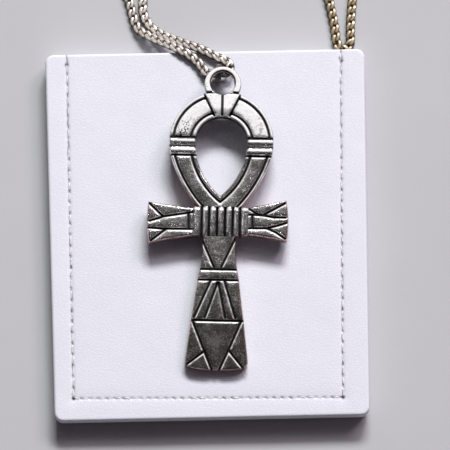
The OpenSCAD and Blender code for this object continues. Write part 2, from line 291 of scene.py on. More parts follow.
class Nodes:
    """Builds a node tree in few words."""

    # A Mix node's sockets: its share, its two values and its two colours.
    SHARE = 0
    VALUES = (2, 3)
    COLOURS = (6, 7)

    def __init__(self, tree: bpy.types.NodeTree) -> None:
        """Keeps the tree and empties it."""
        self.tree = tree
        tree.nodes.clear()

    def feed(self, node: bpy.types.Node, inputs: dict) -> None:
        """Sets a node's inputs: a socket is linked to it, and a value is put in.

        Args:
            node: The node to feed.
            inputs: Socket name or number to a value or to another node's output socket.
        """
        for key, value in inputs.items():
            if isinstance(value, Socket):
                self.tree.links.new(value, node.inputs[key])
            else:
                node.inputs[key].default_value = value

    def add(self, kind: str, inputs: dict | None = None, **settings: object) -> bpy.types.Node:
        """Adds a node.

        Args:
            kind: The node's type without its ShaderNode start.
            inputs: Socket name or number to a value or to another node's output socket.
            settings: Properties of the node itself.

        Returns:
            The new node.
        """
        node = self.tree.nodes.new("ShaderNode" + kind)
        for key, value in settings.items():
            setattr(node, key, value)
        self.feed(node, inputs or {})
        return node

    def place(self) -> Socket:
        """The object's own coordinates."""
        return self.add("TexCoord").outputs["Object"]

    def attribute(self, name: str) -> Socket:
        """A value that the mesh gives for each vertex."""
        return self.add("Attribute", attribute_name=name).outputs["Fac"]

    def math(self, operation: str, *values: object) -> Socket:
        """One Math node on two values or sockets."""
        return self.add("Math", dict(enumerate(values)), operation=operation).outputs[0]

    def times(self, *values: object) -> Socket:
        """Two values or sockets multiplied."""
        return self.math("MULTIPLY", *values)

    def span(
        self, value: Socket, low: float, high: float, to_low: float = 0.0, to_high: float = 1.0
    ) -> Socket:
        """Maps low..high to to_low..to_high, clamped."""
        inputs = {"Value": value, "From Min": low, "From Max": high, "To Min": to_low, "To Max": to_high}
        return self.add("MapRange", inputs).outputs[0]

    def mix(self, share: object, first: object, second: object) -> Socket:
        """Mixes two colours: share 0 gives the first, 1 the second."""
        inputs = {self.SHARE: share, self.COLOURS[0]: first, self.COLOURS[1]: second}
        return self.add("Mix", inputs, data_type="RGBA").outputs[2]

    def blend(self, share: object, first: object, second: object) -> Socket:
        """Mixes two values: share 0 gives the first, 1 the second."""
        return self.add("Mix", {self.SHARE: share, self.VALUES[0]: first, self.VALUES[1]: second}).outputs[0]

    def noise(self, place: Socket, scale: object, detail: float = 3.0) -> Socket:
        """A noise value of 0 to 1."""
        return self.add("TexNoise", {"Vector": place, "Scale": scale, "Detail": detail}).outputs[0]

    def bump(self, height: Socket, depth_mm: float) -> Socket:
        """The normal of a surface whose height stands out by that many millimetres."""
        return self.add("Bump", {"Height": height, "Strength": 1.0, "Distance": depth_mm * MM}).outputs[0]


def group(
    name: str, inputs: dict[str, tuple[str, object]], outputs: dict[str, str]
) -> tuple[Nodes, bpy.types.NodeOutputs, bpy.types.Node]:
    """Starts a shader node group with named sockets.

    Args:
        name: The group's name.
        inputs: Socket name to its type and default value.
        outputs: Socket name to its type.

    Returns:
        The builder, the sockets of what the group is given, and its output node.
    """
    tree = bpy.data.node_groups.new(name, "ShaderNodeTree")
    build = Nodes(tree)
    for key, (kind, value) in inputs.items():
        socket = tree.interface.new_socket(name=key, in_out="INPUT", socket_type="NodeSocket" + kind)
        socket.default_value = value
    for key, kind in outputs.items():
        tree.interface.new_socket(name=key, in_out="OUTPUT", socket_type="NodeSocket" + kind)
    return build, tree.nodes.new("NodeGroupInput").outputs, tree.nodes.new("NodeGroupOutput")


def cast_skin_group() -> bpy.types.NodeTree:
    """The skin of a cast or drawn metal, as a height and a mask of its pits.

    A pit opens where the distance to a cell's middle is under a limit, which is the pit share times a slow
    noise. The height is that noise and a finer one added up, less the pits.

    Returns:
        The node group.
    """
    build, given, out = group(
        "cast_skin",
        {"Pit Scale": ("Float", 4200.0), "Pit Share": ("Float", 0.3), "Wave Scale": ("Float", 900.0)},
        {"Height": "Float", "Pits": "Float"},
    )
    slow_part, fine_part, pit_part = 0.6, 0.4, 0.8
    place = build.place()
    cells = build.add("TexVoronoi", {"Vector": place, "Scale": given["Pit Scale"]}, feature="F1").outputs[0]
    slow = build.noise(place, given["Wave Scale"], 4.0)
    fine = build.noise(place, build.times(given["Wave Scale"], 3.0), 3.0)
    limit = build.times(given["Pit Share"], slow)
    pits = build.span(build.math("SUBTRACT", limit, cells), -0.05, 0.12)
    swell = build.math("ADD", build.times(slow, slow_part), build.times(fine, fine_part))
    height = build.math("SUBTRACT", swell, build.times(pits, pit_part))
    build.feed(out, {"Height": height, "Pits": pits})
    return build.tree


def patina_group() -> bpy.types.NodeTree:
    """Metal dark in its cuts and clean on its high places, as a colour, a roughness and a metal share.

    The share of clean metal is the polish with a cloudy and a speckled noise added, or the wear value where
    that is more; that value is mostly a painted highlight. Grime and shade is the deeper of the cut and the
    pits, and pits count less where the metal is worn; on some pieces the cut value carries painted shade as
    well. Grime and shade and the wear value both make the surface less metallic, and grime and shade makes it
    rougher.

    Returns:
        The node group.
    """
    build, given, out = group(
        "patina",
        {
            "Clean": ("Color", (0.8, 0.8, 0.8, 1)),
            "Dull": ("Color", (0.3, 0.3, 0.3, 1)),
            "Dark": ("Color", (0.02, 0.02, 0.02, 1)),
            "Cut": ("Float", 0.0),
            "Polish": ("Float", 0.5),
            "Pits": ("Float", 0.0),
            "Wear And Highlight": ("Float", 0.0),
            "Metal": ("Float", 1.0),
            "Gloss": ("Float", 0.25),
            "Matt": ("Float", 0.5),
        },
        {"Color": "Color", "Roughness": "Float", "Metallic": "Float"},
    )
    cloud_scale, speck_scale, grime_and_shade_roughness = 520.0, 4200.0, 0.25
    place = build.place()
    cloud = build.times(build.noise(place, cloud_scale, 4.0), 0.5)
    speck = build.times(build.noise(place, speck_scale, 3.0), 0.5)
    uneven = build.span(build.math("ADD", cloud, speck), 0.41, 0.59, -0.5, 0.5)
    share = build.span(build.math("ADD", given["Polish"], uneven), 0.0, 1.0)
    share = build.math("MAXIMUM", share, given["Wear And Highlight"])
    face = build.mix(share, given["Dull"], given["Clean"])
    pits = build.times(given["Pits"], build.span(given["Wear And Highlight"], 0.2, 1.0, 0.75, 0.12))
    grime_and_shade = build.span(build.math("MAXIMUM", given["Cut"], pits), 0.12, 0.8)
    rough = build.blend(share, given["Matt"], given["Gloss"])
    rough = build.math("ADD", rough, build.times(grime_and_shade, grime_and_shade_roughness))
    metal = build.times(build.span(grime_and_shade, 0.0, 1.0, 1.0, 0.55), given["Metal"])
    # Where the wear value, mostly a painted highlight, is full, the metal is not metallic at all and shows
    # its clean colour bright under any light.
    metal = build.times(metal, build.span(given["Wear And Highlight"], 0.0, 0.9, 1.0, 0.0))
    build.feed(out, {"Color": build.mix(grime_and_shade, face, given["Dark"]), "Roughness": rough, "Metallic": metal})
    return build.tree


def grain_group() -> bpy.types.NodeTree:
    """Pressed leather grain: small rounded cells with creases between, as a height and a shade.

    The cells lie across the piece, because Y is stretched, and a noise bends their sides. The height is the
    distance to the nearest crease with a fine noise added, and the shade adds broad clouds to it.

    Returns:
        The node group.
    """
    build, given, out = group(
        "pressed_grain",
        {"Scale": ("Float", 1700.0), "Crease": ("Float", 0.5)},
        {"Height": "Float", "Shade": "Float"},
    )
    bend_scale, bend_m, soft_scale, soft_part, cloud_scale = 900.0, 0.0004, 5200.0, 0.3, 160.0
    place = build.place()
    stretch = build.add("Mapping", {"Vector": place, "Scale": (1.0, 2.0, 1.0)}).outputs[0]
    bend = build.add("TexNoise", {"Vector": stretch, "Scale": bend_scale, "Detail": 2.0}).outputs["Color"]
    shift = build.add("VectorMath", {0: bend, "Scale": bend_m}, operation="SCALE").outputs[0]
    moved = build.add("VectorMath", {0: stretch, 1: shift}, operation="ADD").outputs[0]
    cell_inputs = {"Vector": moved, "Scale": given["Scale"]}
    cells = build.add("TexVoronoi", cell_inputs, feature="DISTANCE_TO_EDGE").outputs[0]
    pebble = build.span(cells, 0.0, 0.28)
    soft = build.times(build.noise(place, soft_scale, 2.0), soft_part)
    height = build.math("ADD", build.times(pebble, given["Crease"]), soft)
    clouded = build.math("ADD", pebble, build.noise(place, cloud_scale, 3.0))
    build.feed(out, {"Height": height, "Shade": build.span(clouded, 0.3, 1.4)})
    return build.tree


class Groups:
    """The shared node groups, each made once when it is first asked for."""

    made: dict[str, bpy.types.NodeTree] = {}

    @classmethod
    def get(cls, maker: Callable[[], bpy.types.NodeTree]) -> bpy.types.NodeTree:
        """The group that the maker makes, made the first time."""
        if maker.__name__ not in cls.made:
            cls.made[maker.__name__] = maker()
        return cls.made[maker.__name__]


def start_material(name: str) -> tuple[bpy.types.Material, Nodes, bpy.types.Node]:
    """A new material with a Principled shader.

    Args:
        name: The material's name.

    Returns:
        The material, its tree builder and the shader node.
    """
    material = bpy.data.materials.new(name)
    material.use_nodes = True
    build = Nodes(material.node_tree)
    shader = build.add("BsdfPrincipled")
    build.add("OutputMaterial", {0: shader.outputs[0]})
    return material, build, shader


@dataclass(frozen=True)
class MetalFinish:
    """A metal with dark cuts and clean high places.

    The mesh gives four values for each vertex: cut, polish, tint and wear; wear is mostly a painted
    highlight, and on some pieces cut, polish and tint carry painted shade and light as well.
    """

    name: str
    clean: Colour
    dull: Colour
    dark: Colour
    tinted: Colour
    gloss: float
    matt: float
    pit_scale: float
    pit_share: float
    wave_scale: float
    bump_mm: float
    metal: float = 1.0
    tint_dulling: float = 0.42

    def material(self) -> bpy.types.Material:
        """Builds the material."""
        material, build, shader = start_material(self.name)
        skin_inputs = {"Pit Scale": self.pit_scale, "Pit Share": self.pit_share}
        skin_inputs["Wave Scale"] = self.wave_scale
        skin = build.add("Group", skin_inputs, node_tree=Groups.get(cast_skin_group))
        tint = build.attribute("tint")
        dull_tint = (*(self.tint_dulling * part for part in self.tinted[:3]), 1)
        patina_inputs = {
            "Clean": build.mix(tint, self.clean, self.tinted),
            "Dull": build.mix(tint, self.dull, dull_tint),
            "Dark": self.dark,
            "Cut": build.attribute("cut"),
            "Polish": build.attribute("polish"),
            "Pits": skin.outputs["Pits"],
            "Wear And Highlight": build.attribute("wear_and_highlight"),
            "Metal": self.metal,
            "Gloss": self.gloss,
            "Matt": self.matt,
        }
        patina = build.add("Group", patina_inputs, node_tree=Groups.get(patina_group))
        looks = {
            "Base Color": patina.outputs["Color"],
            "Roughness": patina.outputs["Roughness"],
            "Metallic": patina.outputs["Metallic"],
            "Normal": build.bump(skin.outputs["Height"], self.bump_mm),
        }
        build.feed(shader, looks)
        return material


@dataclass(frozen=True)
class LeatherFinish:
    """White pressed leatherette. The mesh gives the values hole and edge for each vertex: hole is painted
    shade in the needle holes and along the seams, and edge is painted shade on the side at the pad's foot.
    """

    name: str = "white_leatherette"
    face: Colour = (0.80, 0.815, 0.885, 1)
    crease: Colour = (0.75, 0.755, 0.835, 1)
    # Painted shade: the edge colour darkens the side at the pad's foot, and the hole colour fills the needle
    # holes and the seam lines.
    edge: Colour = (0.30, 0.265, 0.25, 1)
    hole: Colour = (0.035, 0.02, 0.025, 1)
    rough_crease: float = 0.62
    rough_face: float = 0.5
    specular: float = 0.4
    grain_scale: float = 1700.0
    crease_share: float = 0.5
    bump_mm: float = 0.022

    def material(self) -> bpy.types.Material:
        """Builds the material."""
        material, build, shader = start_material(self.name)
        grain_inputs = {"Scale": self.grain_scale, "Crease": self.crease_share}
        grain = build.add("Group", grain_inputs, node_tree=Groups.get(grain_group))
        colour = build.mix(grain.outputs["Shade"], self.crease, self.face)
        colour = build.mix(build.attribute("edge"), colour, self.edge)
        colour = build.mix(build.attribute("hole"), colour, self.hole)
        looks = {
            "Base Color": colour,
            "Roughness": build.span(grain.outputs["Shade"], 0.0, 1.0, self.rough_crease, self.rough_face),
            "Normal": build.bump(grain.outputs["Height"], self.bump_mm),
            "Specular IOR Level": self.specular,
        }
        build.feed(shader, looks)
        return material


@dataclass(frozen=True)
class ThreadFinish:
    """Twisted sewing thread with fine fibres."""

    name: str = "sewing_thread"
    light: Colour = (0.86, 0.84, 0.88, 1)
    deep: Colour = (0.60, 0.54, 0.58, 1)
    twist_turn: float = 0.7
    fibre_scale: float = 5200.0
    fibres_a_twist: float = 12.0
    rough_low: float = 0.6
    rough_high: float = 0.85
    bump_mm: float = 0.03

    def material(self) -> bpy.types.Material:
        """Builds the material: slanting waves for the twist and a fine noise for the fibres, added up."""
        material, build, shader = start_material(self.name)
        place = build.place()
        turned = build.add("Mapping", {"Vector": place, "Rotation": (0.0, 0.0, self.twist_turn)}).outputs[0]
        twist_scale = self.fibre_scale / self.fibres_a_twist
        waves = build.add("TexWave", {"Vector": turned, "Scale": twist_scale, "Distortion": 1.5}).outputs[1]
        fibre = build.noise(place, self.fibre_scale, 2.0)
        share = build.times(build.math("ADD", waves, fibre), 0.6)
        looks = {
            "Base Color": build.mix(build.span(share, 0.1, 0.9), self.deep, self.light),
            "Roughness": build.span(fibre, 0.0, 1.0, self.rough_low, self.rough_high),
            "Normal": build.bump(share, self.bump_mm),
        }
        build.feed(shader, looks)
        return material


class Finish(Enum):
    """The named finishes of this object."""

    SILVER = MetalFinish(
        name="antiqued_casting",
        clean=(0.91, 0.905, 0.90, 1),
        dull=(0.164, 0.163, 0.141, 1),
        dark=(0.014, 0.013, 0.015, 1),
        tinted=(0.66, 0.38, 0.34, 1),
        gloss=0.22,
        matt=0.36,
        pit_scale=4200.0,
        pit_share=0.55,
        wave_scale=1300.0,
        bump_mm=0.062,
    )
    CHAIN = MetalFinish(
        name="tarnished_wire",
        clean=(0.86, 0.81, 0.77, 1),
        dull=(0.21, 0.168, 0.12, 1),
        dark=(0.045, 0.032, 0.024, 1),
        # On the chain the tinted colour is the painted warm light at its right end.
        tinted=(0.70, 0.56, 0.36, 1),
        gloss=0.28,
        matt=0.42,
        pit_scale=5200.0,
        pit_share=0.2,
        wave_scale=1500.0,
        bump_mm=0.012,
        metal=0.8,
    )
    LEATHER = LeatherFinish()
    THREAD = ThreadFinish()

    def put_on(self, piece: Piece) -> Piece:
        """Gives the piece this finish and hands it back; each finish makes its material once.

        Args:
            piece: The piece to dress.

        Returns:
            The same piece.
        """
        piece.data.materials.clear()
        piece.data.materials.append(bpy.data.materials.get(self.value.name) or self.value.material())
        return piece


# The pendant


@dataclass(frozen=True)
class Placing:
    """Where the casting lies on the pad: leaned on its foot and bail, turned and moved."""

    x: float = 1.85
    y: float = 1.3
    z: float = 4.05
    turn_deg: float = -2.5
    tilt_deg: float = 3.135709
    pivot_y: float = -24.23

    def place(self, points: Array) -> Array:
        """Turns about X at the foot, then about Z at the crossing, then moves.

        Args:
            points: Points in the casting's own frame, in millimetres.

        Returns:
            The points in the row frame, in millimetres.
        """
        y, z = turn(points[:, 1] - self.pivot_y, points[:, 2], self.tilt_deg)
        x, y = turn(points[:, 0], y + self.pivot_y, self.turn_deg)
        return np.stack([x + self.x, y + self.y, z + self.z], axis=1)


@dataclass(frozen=True)
class Plan:
    """The casting seen from the front, in its own frame: sizes, outline and lines of the relief."""

    loop_r: float = 8.5
    hole_r: float = 4.25
    loop_y: float = 13.0
    loop_bow: Pair = (17.0, 13.5)
    hole_bow: Pair = (4.0, 8.15)
    outer_cut_r: float = 7.85
    inner_cut_r: float = 5.05
    band_y: float = 12.3
    band_pitch: float = 1.49
    ring_y: float = 22.7
    ring_r: float = 3.0
    ring_hole_r: float = 2.05
    ring_hole_up: float = 0.25
    key_top: float = 3.1
    key_low: float = 1.2
    key_y: float = 21.2
    key_h: float = 3.65
    wrap_w: float = 4.45
    wrap_h: float = 2.38
    wrap_shift: float = 0.18
    arm_left: float = 7.25
    arm_right: float = 6.25
    arm_root: float = 2.3
    arm_tip: float = 3.42
    arm_bulge: float = 0.3
    arm_turn_deg: float = 1.7
    stem_l: float = 21.1
    stem_top: float = 2.6
    stem_foot: float = 5.2
    foot_bulge: float = 0.75
    foot_share: float = 0.8
    foot_corner: float = 0.12
    stem_root_y: float = 0.5

    # Points on the round part and on each wide arc of a teardrop.
    ROUND_STEPS = 96
    SIDE_STEPS = 40

    # The stem's flare: share of its length, and of the way from its top's half width to its foot's.
    STEM_EDGE = ((0, 0), (0.245, 0.14), (0.3, 0.25), (0.65, 0.64), (1, 1))

    # Cuts as lines of points. On the stem a point is a share of its length and of its half width there, on an
    # arm a share of its length and of its half height there. CROSS_CUTS are shares of the stem's length.
    STEM_CUTS = (
        ((0.03, -1.04), (0.242, -0.25)),
        ((0.015, 1), (0.242, 0.145)),
        ((0.35, -0.37), (0.633, -0.9)),
        ((0.365, -0.04), (0.633, -0.49)),
        ((0.365, 0.02), (0.633, 0.3)),
        ((0.35, 0.305), (0.633, 0.69)),
        ((0.663, -0.92), (0.888, -0.41), (1.03, -0.14)),
        ((0.663, 0.88), (0.877, 0.39), (1.03, 0.09)),
        ((0.89, -0.41), (1, -0.96)),
        ((0.879, 0.4), (1.012, 0.83)),
    )
    CROSS_CUTS = (0.259, 0.341, 0.654)
    LEFT_CUTS = (
        ((0.96, 0.88), (0.674, 0.29), (0, 0.68)),
        ((0.98, 0.06), (0.7, 0.25)),
        ((1, -0.27), (0.66, -0.37), (0, -0.52)),
        ((0.95, -0.9), (0.72, -0.57), (0.61, -0.4)),
        ((0.105, 0.58), (0.105, -0.5)),
    )
    RIGHT_CUTS = (
        ((0.02, 0.88), (0.24, 0.45), (0.38, 0.34), (0.647, 0.6), (0.95, 0.84)),
        ((0.02, 0.46), (0.38, 0.34), (0.647, 0.2), (0.97, 0.16)),
        ((0.02, -0.5), (0.48, -0.42), (0.72, -0.275), (0.99, -0.1)),
        ((0.48, -0.42), (0.71, -0.6), (0.95, -0.87)),
        ((0.11, 0.43), (0.11, -0.48)),
    )
    # The short cut over the keystone's shoulder, as X and as Y from the keystone's top.
    KEY_SHOULDER = ((3.3, -0.05), (1.85, 0.12))

    def stem_half(self, share: Array | float) -> Array | float:
        """Half width of the stem at a share of its length."""
        at, flare = zip(*self.STEM_EDGE)
        return self.stem_top + (self.stem_foot - self.stem_top) * np.interp(share, at, flare)

    def stem_point(self, point: Pair) -> Pair:
        """A point given as a share of the stem's length and of its half width there."""
        return float(point[1] * self.stem_half(point[0])), -self.wrap_h - point[0] * self.stem_l

    def arm_length(self, side: int) -> float:
        """Length of one arm; side is 1 or -1."""
        return self.arm_right if side > 0 else self.arm_left

    def arm_point(self, point: Pair, side: int) -> Pair:
        """A point of an arm, turned with the arms about the crossing.

        Args:
            point: Share of the arm's length, and share of its half height there.
            side: 1 for the right arm or -1 for the left one.

        Returns:
            X and Y of the point.
        """
        half = self.arm_root + point[0] * (self.arm_tip - self.arm_root)
        along = self.wrap_shift + side * (self.wrap_w + point[0] * self.arm_length(side))
        return turn(along, point[1] * half, self.arm_turn_deg)

    def teardrop(self, radius: float, lean_deg: float, bow: float) -> Array:
        """Corners of a teardrop: an arc about the loop's centre, then two wide arcs that meet at its tip.

        Each wide arc carries on where the round one ends. Its centre lies on the other side of the loop, at
        the distance bow from the loop's centre and lean degrees above it. Its radius is bow plus radius.

        Args:
            radius: Radius of the round part.
            lean_deg: How far below its widest place the round part ends, in degrees.
            bow: Distance from the loop's centre to the centre of a wide arc.

        Returns:
            The corners in order.
        """
        lean, wide = np.radians(lean_deg), bow + radius
        round_part = np.linspace(-lean, np.pi + lean, self.ROUND_STEPS)
        tip = np.pi + np.arccos(bow * np.cos(lean) / wide)
        side = np.linspace(np.pi + lean, tip, self.SIDE_STEPS)[1:]
        x = bow * np.cos(lean) + wide * np.cos(side)
        y = self.loop_y + bow * np.sin(lean) + wide * np.sin(side)
        top = np.stack([radius * np.cos(round_part), self.loop_y + radius * np.sin(round_part)], axis=1)
        flank = np.stack([x, y], axis=1)
        return np.vstack([top, flank, (flank * [-1, 1])[-2::-1]])

    def loop(self) -> Array:
        """Corners of the loop's outer edge."""
        return self.teardrop(self.loop_r, *self.loop_bow)

    def hole(self) -> Array:
        """Corners of the loop's hole."""
        return self.teardrop(self.hole_r, *self.hole_bow)

    def outer_cut(self) -> Array:
        """Middle of the cut beside the loop's outer edge."""
        return self.teardrop(self.outer_cut_r, *self.loop_bow)

    def inner_cut(self) -> Array:
        """Middle of the cut around the loop's hole."""
        return self.teardrop(self.inner_cut_r, *self.hole_bow)

    def ring_hole(self, x: Array, y: Array) -> Array:
        """Signed distance to the hanging ring's hole, which sits a little above the ring's middle."""
        return np.hypot(x, y - self.ring_y - self.ring_hole_up) - self.ring_hole_r

    def key_low_y(self) -> float:
        """Height of the keystone's lower end."""
        return self.key_y - self.key_h

    def keystone(self) -> Array:
        """Corners of the keystone, which reaches a little under the ring."""
        x, low = [-self.key_top, -self.key_low, self.key_low, self.key_top], self.key_low_y()
        return np.stack([x, [self.key_y, low, low, self.key_y]], axis=1)

    def key_lines(self) -> list[list[Pair]]:
        """The cuts of the keystone: along both slanting sides, over both shoulders and along the middle.

        Returns:
            Start and end of each cut.
        """
        over, low = 0.1, self.key_low_y()
        lines = [[(0.0, self.key_y), (0.0, low)]]
        for s in (-1, 1):
            lines.append([(s * self.key_top, self.key_y + over), (s * (self.key_low + over / 2), low - over)])
            lines.append([(s * x, self.key_y + y) for x, y in self.KEY_SHOULDER])
        return lines

    def stem(self) -> Array:
        """Corners of the stem: its flared sides, a bend at each lower corner and the bulged foot.

        The foot sinks by its bulge times one less the cube of the share across. Each bend is a quadratic
        curve from the end of a side to the end of that line, drawn towards the corner between them.

        Returns:
            The corners in order.
        """
        shares = np.linspace(0, 1, self.SIDE_STEPS)
        side = np.stack([-self.stem_half(shares), -self.wrap_h - shares * self.stem_l], axis=1)
        across = np.linspace(-self.foot_share, self.foot_share, 21)
        foot_y = -self.wrap_h - self.stem_l - self.foot_bulge * (1 - np.abs(across) ** 3)
        foot = np.stack([across * self.stem_foot, foot_y], axis=1)
        corner = np.array([-self.stem_foot, side[-1, 1] - self.foot_corner])
        s = np.linspace(0, 1, 8)[1:-1, None]
        bend = (1 - s) ** 2 * side[-3] + 2 * s * (1 - s) * corner + s**2 * foot[0]
        left = np.vstack([[[-self.stem_top, self.stem_root_y]], side[:-2], bend])
        return np.vstack([left, foot, (left * [-1, 1])[::-1]])

    def arm(self, side: int) -> Array:
        """Corners of one arm, with hollow long edges and a bulged end.

        The half height grows by three quarters of the share along the arm and one quarter of that share's
        square. The end stands out by its bulge times one less the square of the share across.

        Args:
            side: 1 for the right arm or -1 for the left one.

        Returns:
            The corners in order.
        """
        length = self.arm_length(side)
        share = np.linspace(0, 1, 16)
        half = self.arm_root + (self.arm_tip - self.arm_root) * (0.75 * share + 0.25 * share**2)
        root = self.wrap_shift + side * self.wrap_w
        across = np.linspace(1, -1, 13)[1:-1]
        bulge = self.arm_bulge * (1 - across * across)
        tip = np.stack([root + side * (length + bulge), across * self.arm_tip], axis=1)
        edge = np.stack([root + side * share * length, half], axis=1)
        upper = np.vstack([[[root - side, self.arm_root]], edge])
        points = np.vstack([upper, tip, (upper * [1, -1])[::-1]])
        return np.stack(turn(points[:, 0], points[:, 1], self.arm_turn_deg), axis=1)

    def outline(self, x: Array, y: Array) -> Array:
        """Signed distance to the whole casting: the least of its forms, less the two holes.

        Args:
            x, y: The points.

        Returns:
            The distance of each point, negative inside.
        """
        corners = (self.loop(), self.keystone(), self.stem(), self.arm(1), self.arm(-1))
        forms = [to_polygon(x, y, form) for form in corners]
        forms.append(to_box(x - self.wrap_shift, y, self.wrap_w, self.wrap_h))
        forms.append(np.hypot(x, y - self.ring_y) - self.ring_r)
        holes = np.minimum(to_polygon(x, y, self.hole()), self.ring_hole(x, y))
        return np.maximum(np.minimum.reduce(forms), -holes)


@dataclass(frozen=True)
class Survey:
    """What is known of each point of the front before its patina, polish and painted highlights are settled.

    The arrays give its place, its depth inside the outline, its distance to the nearest cut of the plate, to
    the keystone's cuts and to the nearest gap between ribs, and whether a band or the collar is on top there.
    """

    x: Array
    y: Array
    inside: Array
    cut: Array
    key: Array
    gap: Array
    on_band: Array
    on_wrap: Array


@dataclass(frozen=True)
class Relief:
    """Heights of the casting's front above its back, in millimetres."""

    plan: Plan = Plan()
    body_t: float = 2.4
    face_low: float = 0.05
    crown: float = 0.115
    crown_reach: float = 0.16
    unevenness: float = 0.026
    cut_half: float = 0.23
    cut_depth: float = 0.42
    cut_power: float = 2.4
    cut_over: float = 0.3
    arm_zone: float = 4.2
    top_fall: float = 0.066
    top_from: float = 13.6
    top_reach: float = 8.0
    foot_fall: float = 0.7
    foot_from: float = 12.0
    fall_power: float = 1.5
    ring_t: float = 1.9
    ring_proud: float = 0.16
    ring_fall: float = 0.115
    ring_clear_x: float = 2.95
    key_proud: float = 0.14
    key_side_fall: float = 0.05
    key_top_fall: float = 0.11
    key_cut_half: float = 0.26
    key_zone: float = 16.0
    notch_half: float = 0.2
    notch_depth: float = 0.4
    notch_h: float = 0.35
    band_half: float = 0.56
    band_round: float = 0.42
    band_proud: float = 0.2
    wrap_proud: float = 0.34
    rib_valley: float = 0.27
    rib_narrowing: float = 0.05
    rib_depth: float = 0.75
    rib_crown: float = 0.13

    # Rounding of the edges: its width, and the height lost at the edge.
    RIM = (0.34, 0.55)
    RING_ROLL = (0.26, 0.4)
    RING_BEVEL = (0.13, 0.3)
    KEY_ROLL = (0.3, 0.42)
    KEY_TIP = (1.2, 0.35)
    BAND_ROLL = (0.3, 0.45)
    WRAP_ROLL = (0.7, 0.62)
    WRAP_END = (0.3, 0.5)

    # Middles of the gaps between the collar's ribs.
    RIB_GAPS = (-3.12, -1.89, -0.6, 0.7, 1.93, 3.12)

    # Unevenness: pitch, seed and share.
    SWELL = ((1.7, 3, 1.0), (0.6, 4, 0.45), (0.25, 5, 0.2))
    RIB_WAVER = ((0.9, 8, 0.05),)
    RIB_GRAIN = ((0.35, 9, 0.012),)

    def cut_distance(self, x: Array, y: Array) -> Array:
        """Distance to the middle of the nearest cut of the plate, in millimetres.

        Args:
            x, y: The points.

        Returns:
            The distance of each point, or FAR where no cut counts.
        """
        p = self.plan
        on_loop = (to_polygon(x, y, p.loop()) < self.cut_over) & (y > p.wrap_h - 0.2)
        off_bands = np.abs(y - p.band_y) > p.band_pitch
        off_key = to_polygon(x, y, p.keystone()) > 0
        beside_edges = [np.abs(to_polygon(x, y, corners)) for corners in (p.outer_cut(), p.inner_cut())]
        nearest = np.where(on_loop & off_bands & off_key, np.minimum(*beside_edges), FAR)
        for k in (-1, 1):
            beside_band = np.abs(y - p.band_y - k * p.band_pitch)
            nearest = np.minimum(nearest, np.where(on_loop, beside_band, FAR))
        on_stem = (y < 2 * self.cut_over - p.wrap_h) & (np.abs(x) < p.stem_foot + 1)
        lines = [[p.stem_point(point) for point in line] for line in p.STEM_CUTS]
        lines += [[p.stem_point((share, -1.2)), p.stem_point((share, 1.2))] for share in p.CROSS_CUTS]
        nearest = np.minimum(nearest, np.where(on_stem, to_lines(x, y, lines), FAR))
        for side, cuts in ((-1, p.LEFT_CUTS), (1, p.RIGHT_CUTS)):
            lines = [[p.arm_point(point, side) for point in line] for line in cuts]
            on_arm = (side * (x - p.wrap_shift) > p.wrap_w - self.cut_over / 2) & (y < self.arm_zone)
            nearest = np.minimum(nearest, np.where(on_arm, to_lines(x, y, lines), FAR))
        return nearest

    def plate(self, x: Array, y: Array, inside: Array, cut: Array) -> Array:
        """The flat forms: the body, crowned between the cuts, less the cuts and the rounding of its rim.

        Args:
            x, y: The points.
            inside: Depth of the points inside the outline.
            cut: Distance of the points to the nearest cut.

        Returns:
            The height of each point.
        """
        reach = np.maximum(np.minimum(inside, cut - self.cut_half), 0)
        crown = self.crown * (1 - np.exp(-reach / self.crown_reach))
        trough = self.cut_depth * groove(cut, self.cut_half, self.cut_power)
        swell = self.unevenness * ripples(x, y, self.SWELL)
        top_slope = self.top_fall * np.clip(y - self.top_from, 0, self.top_reach)
        foot_slope = self.foot_fall * ramp(-self.foot_from - y, self.foot_from) ** self.fall_power
        face = self.body_t - self.face_low + crown + swell - top_slope - foot_slope
        return face - trough - shoulder(inside, *self.RIM)

    def ring(self, x: Array, y: Array) -> Array:
        """The hanging ring: falling to its top, rolled over at its outer edge and bevelled into its hole.

        Args:
            x, y: The points.

        Returns:
            The height of each point, or NO_FORM off the ring.
        """
        p = self.plan
        outer = p.ring_r - np.hypot(x, y - p.ring_y)
        inner = np.maximum(p.ring_hole(x, y), 0)
        height = self.ring_t + self.ring_proud - self.ring_fall * (y - p.ring_y)
        height = height - shoulder(np.maximum(outer, 0), *self.RING_ROLL)
        height = height - self.RING_BEVEL[1] * groove(inner, self.RING_BEVEL[0], 1)
        off_key = (y > p.key_y) | (np.abs(x) > self.ring_clear_x)
        return np.where((outer >= -SLACK) & off_key, height, NO_FORM)

    def keystone(self, x: Array, y: Array) -> Array:
        """The keystone: two facets that fall to both sides and to the ring, with a cut between and a low tip.

        Args:
            x, y: The points.

        Returns:
            The height of each point, or NO_FORM off the keystone.
        """
        p, (tip_h, tip_drop) = self.plan, self.KEY_TIP
        inside = -to_polygon(x, y, p.keystone())
        height = self.body_t + self.key_proud - self.key_side_fall * np.abs(x)
        height = height - self.key_top_fall * (y - p.key_y + p.key_h)
        height = height - tip_drop * ramp(p.key_low_y() + tip_h - y, tip_h) ** self.fall_power
        middle = groove(np.abs(x), self.cut_half, self.cut_power)
        below_ring = ramp(p.key_y + self.cut_over - y, self.cut_over)
        height = height - self.cut_depth * middle * below_ring
        return np.where(inside > -SLACK, height - shoulder(np.maximum(inside, 0), *self.KEY_ROLL), NO_FORM)

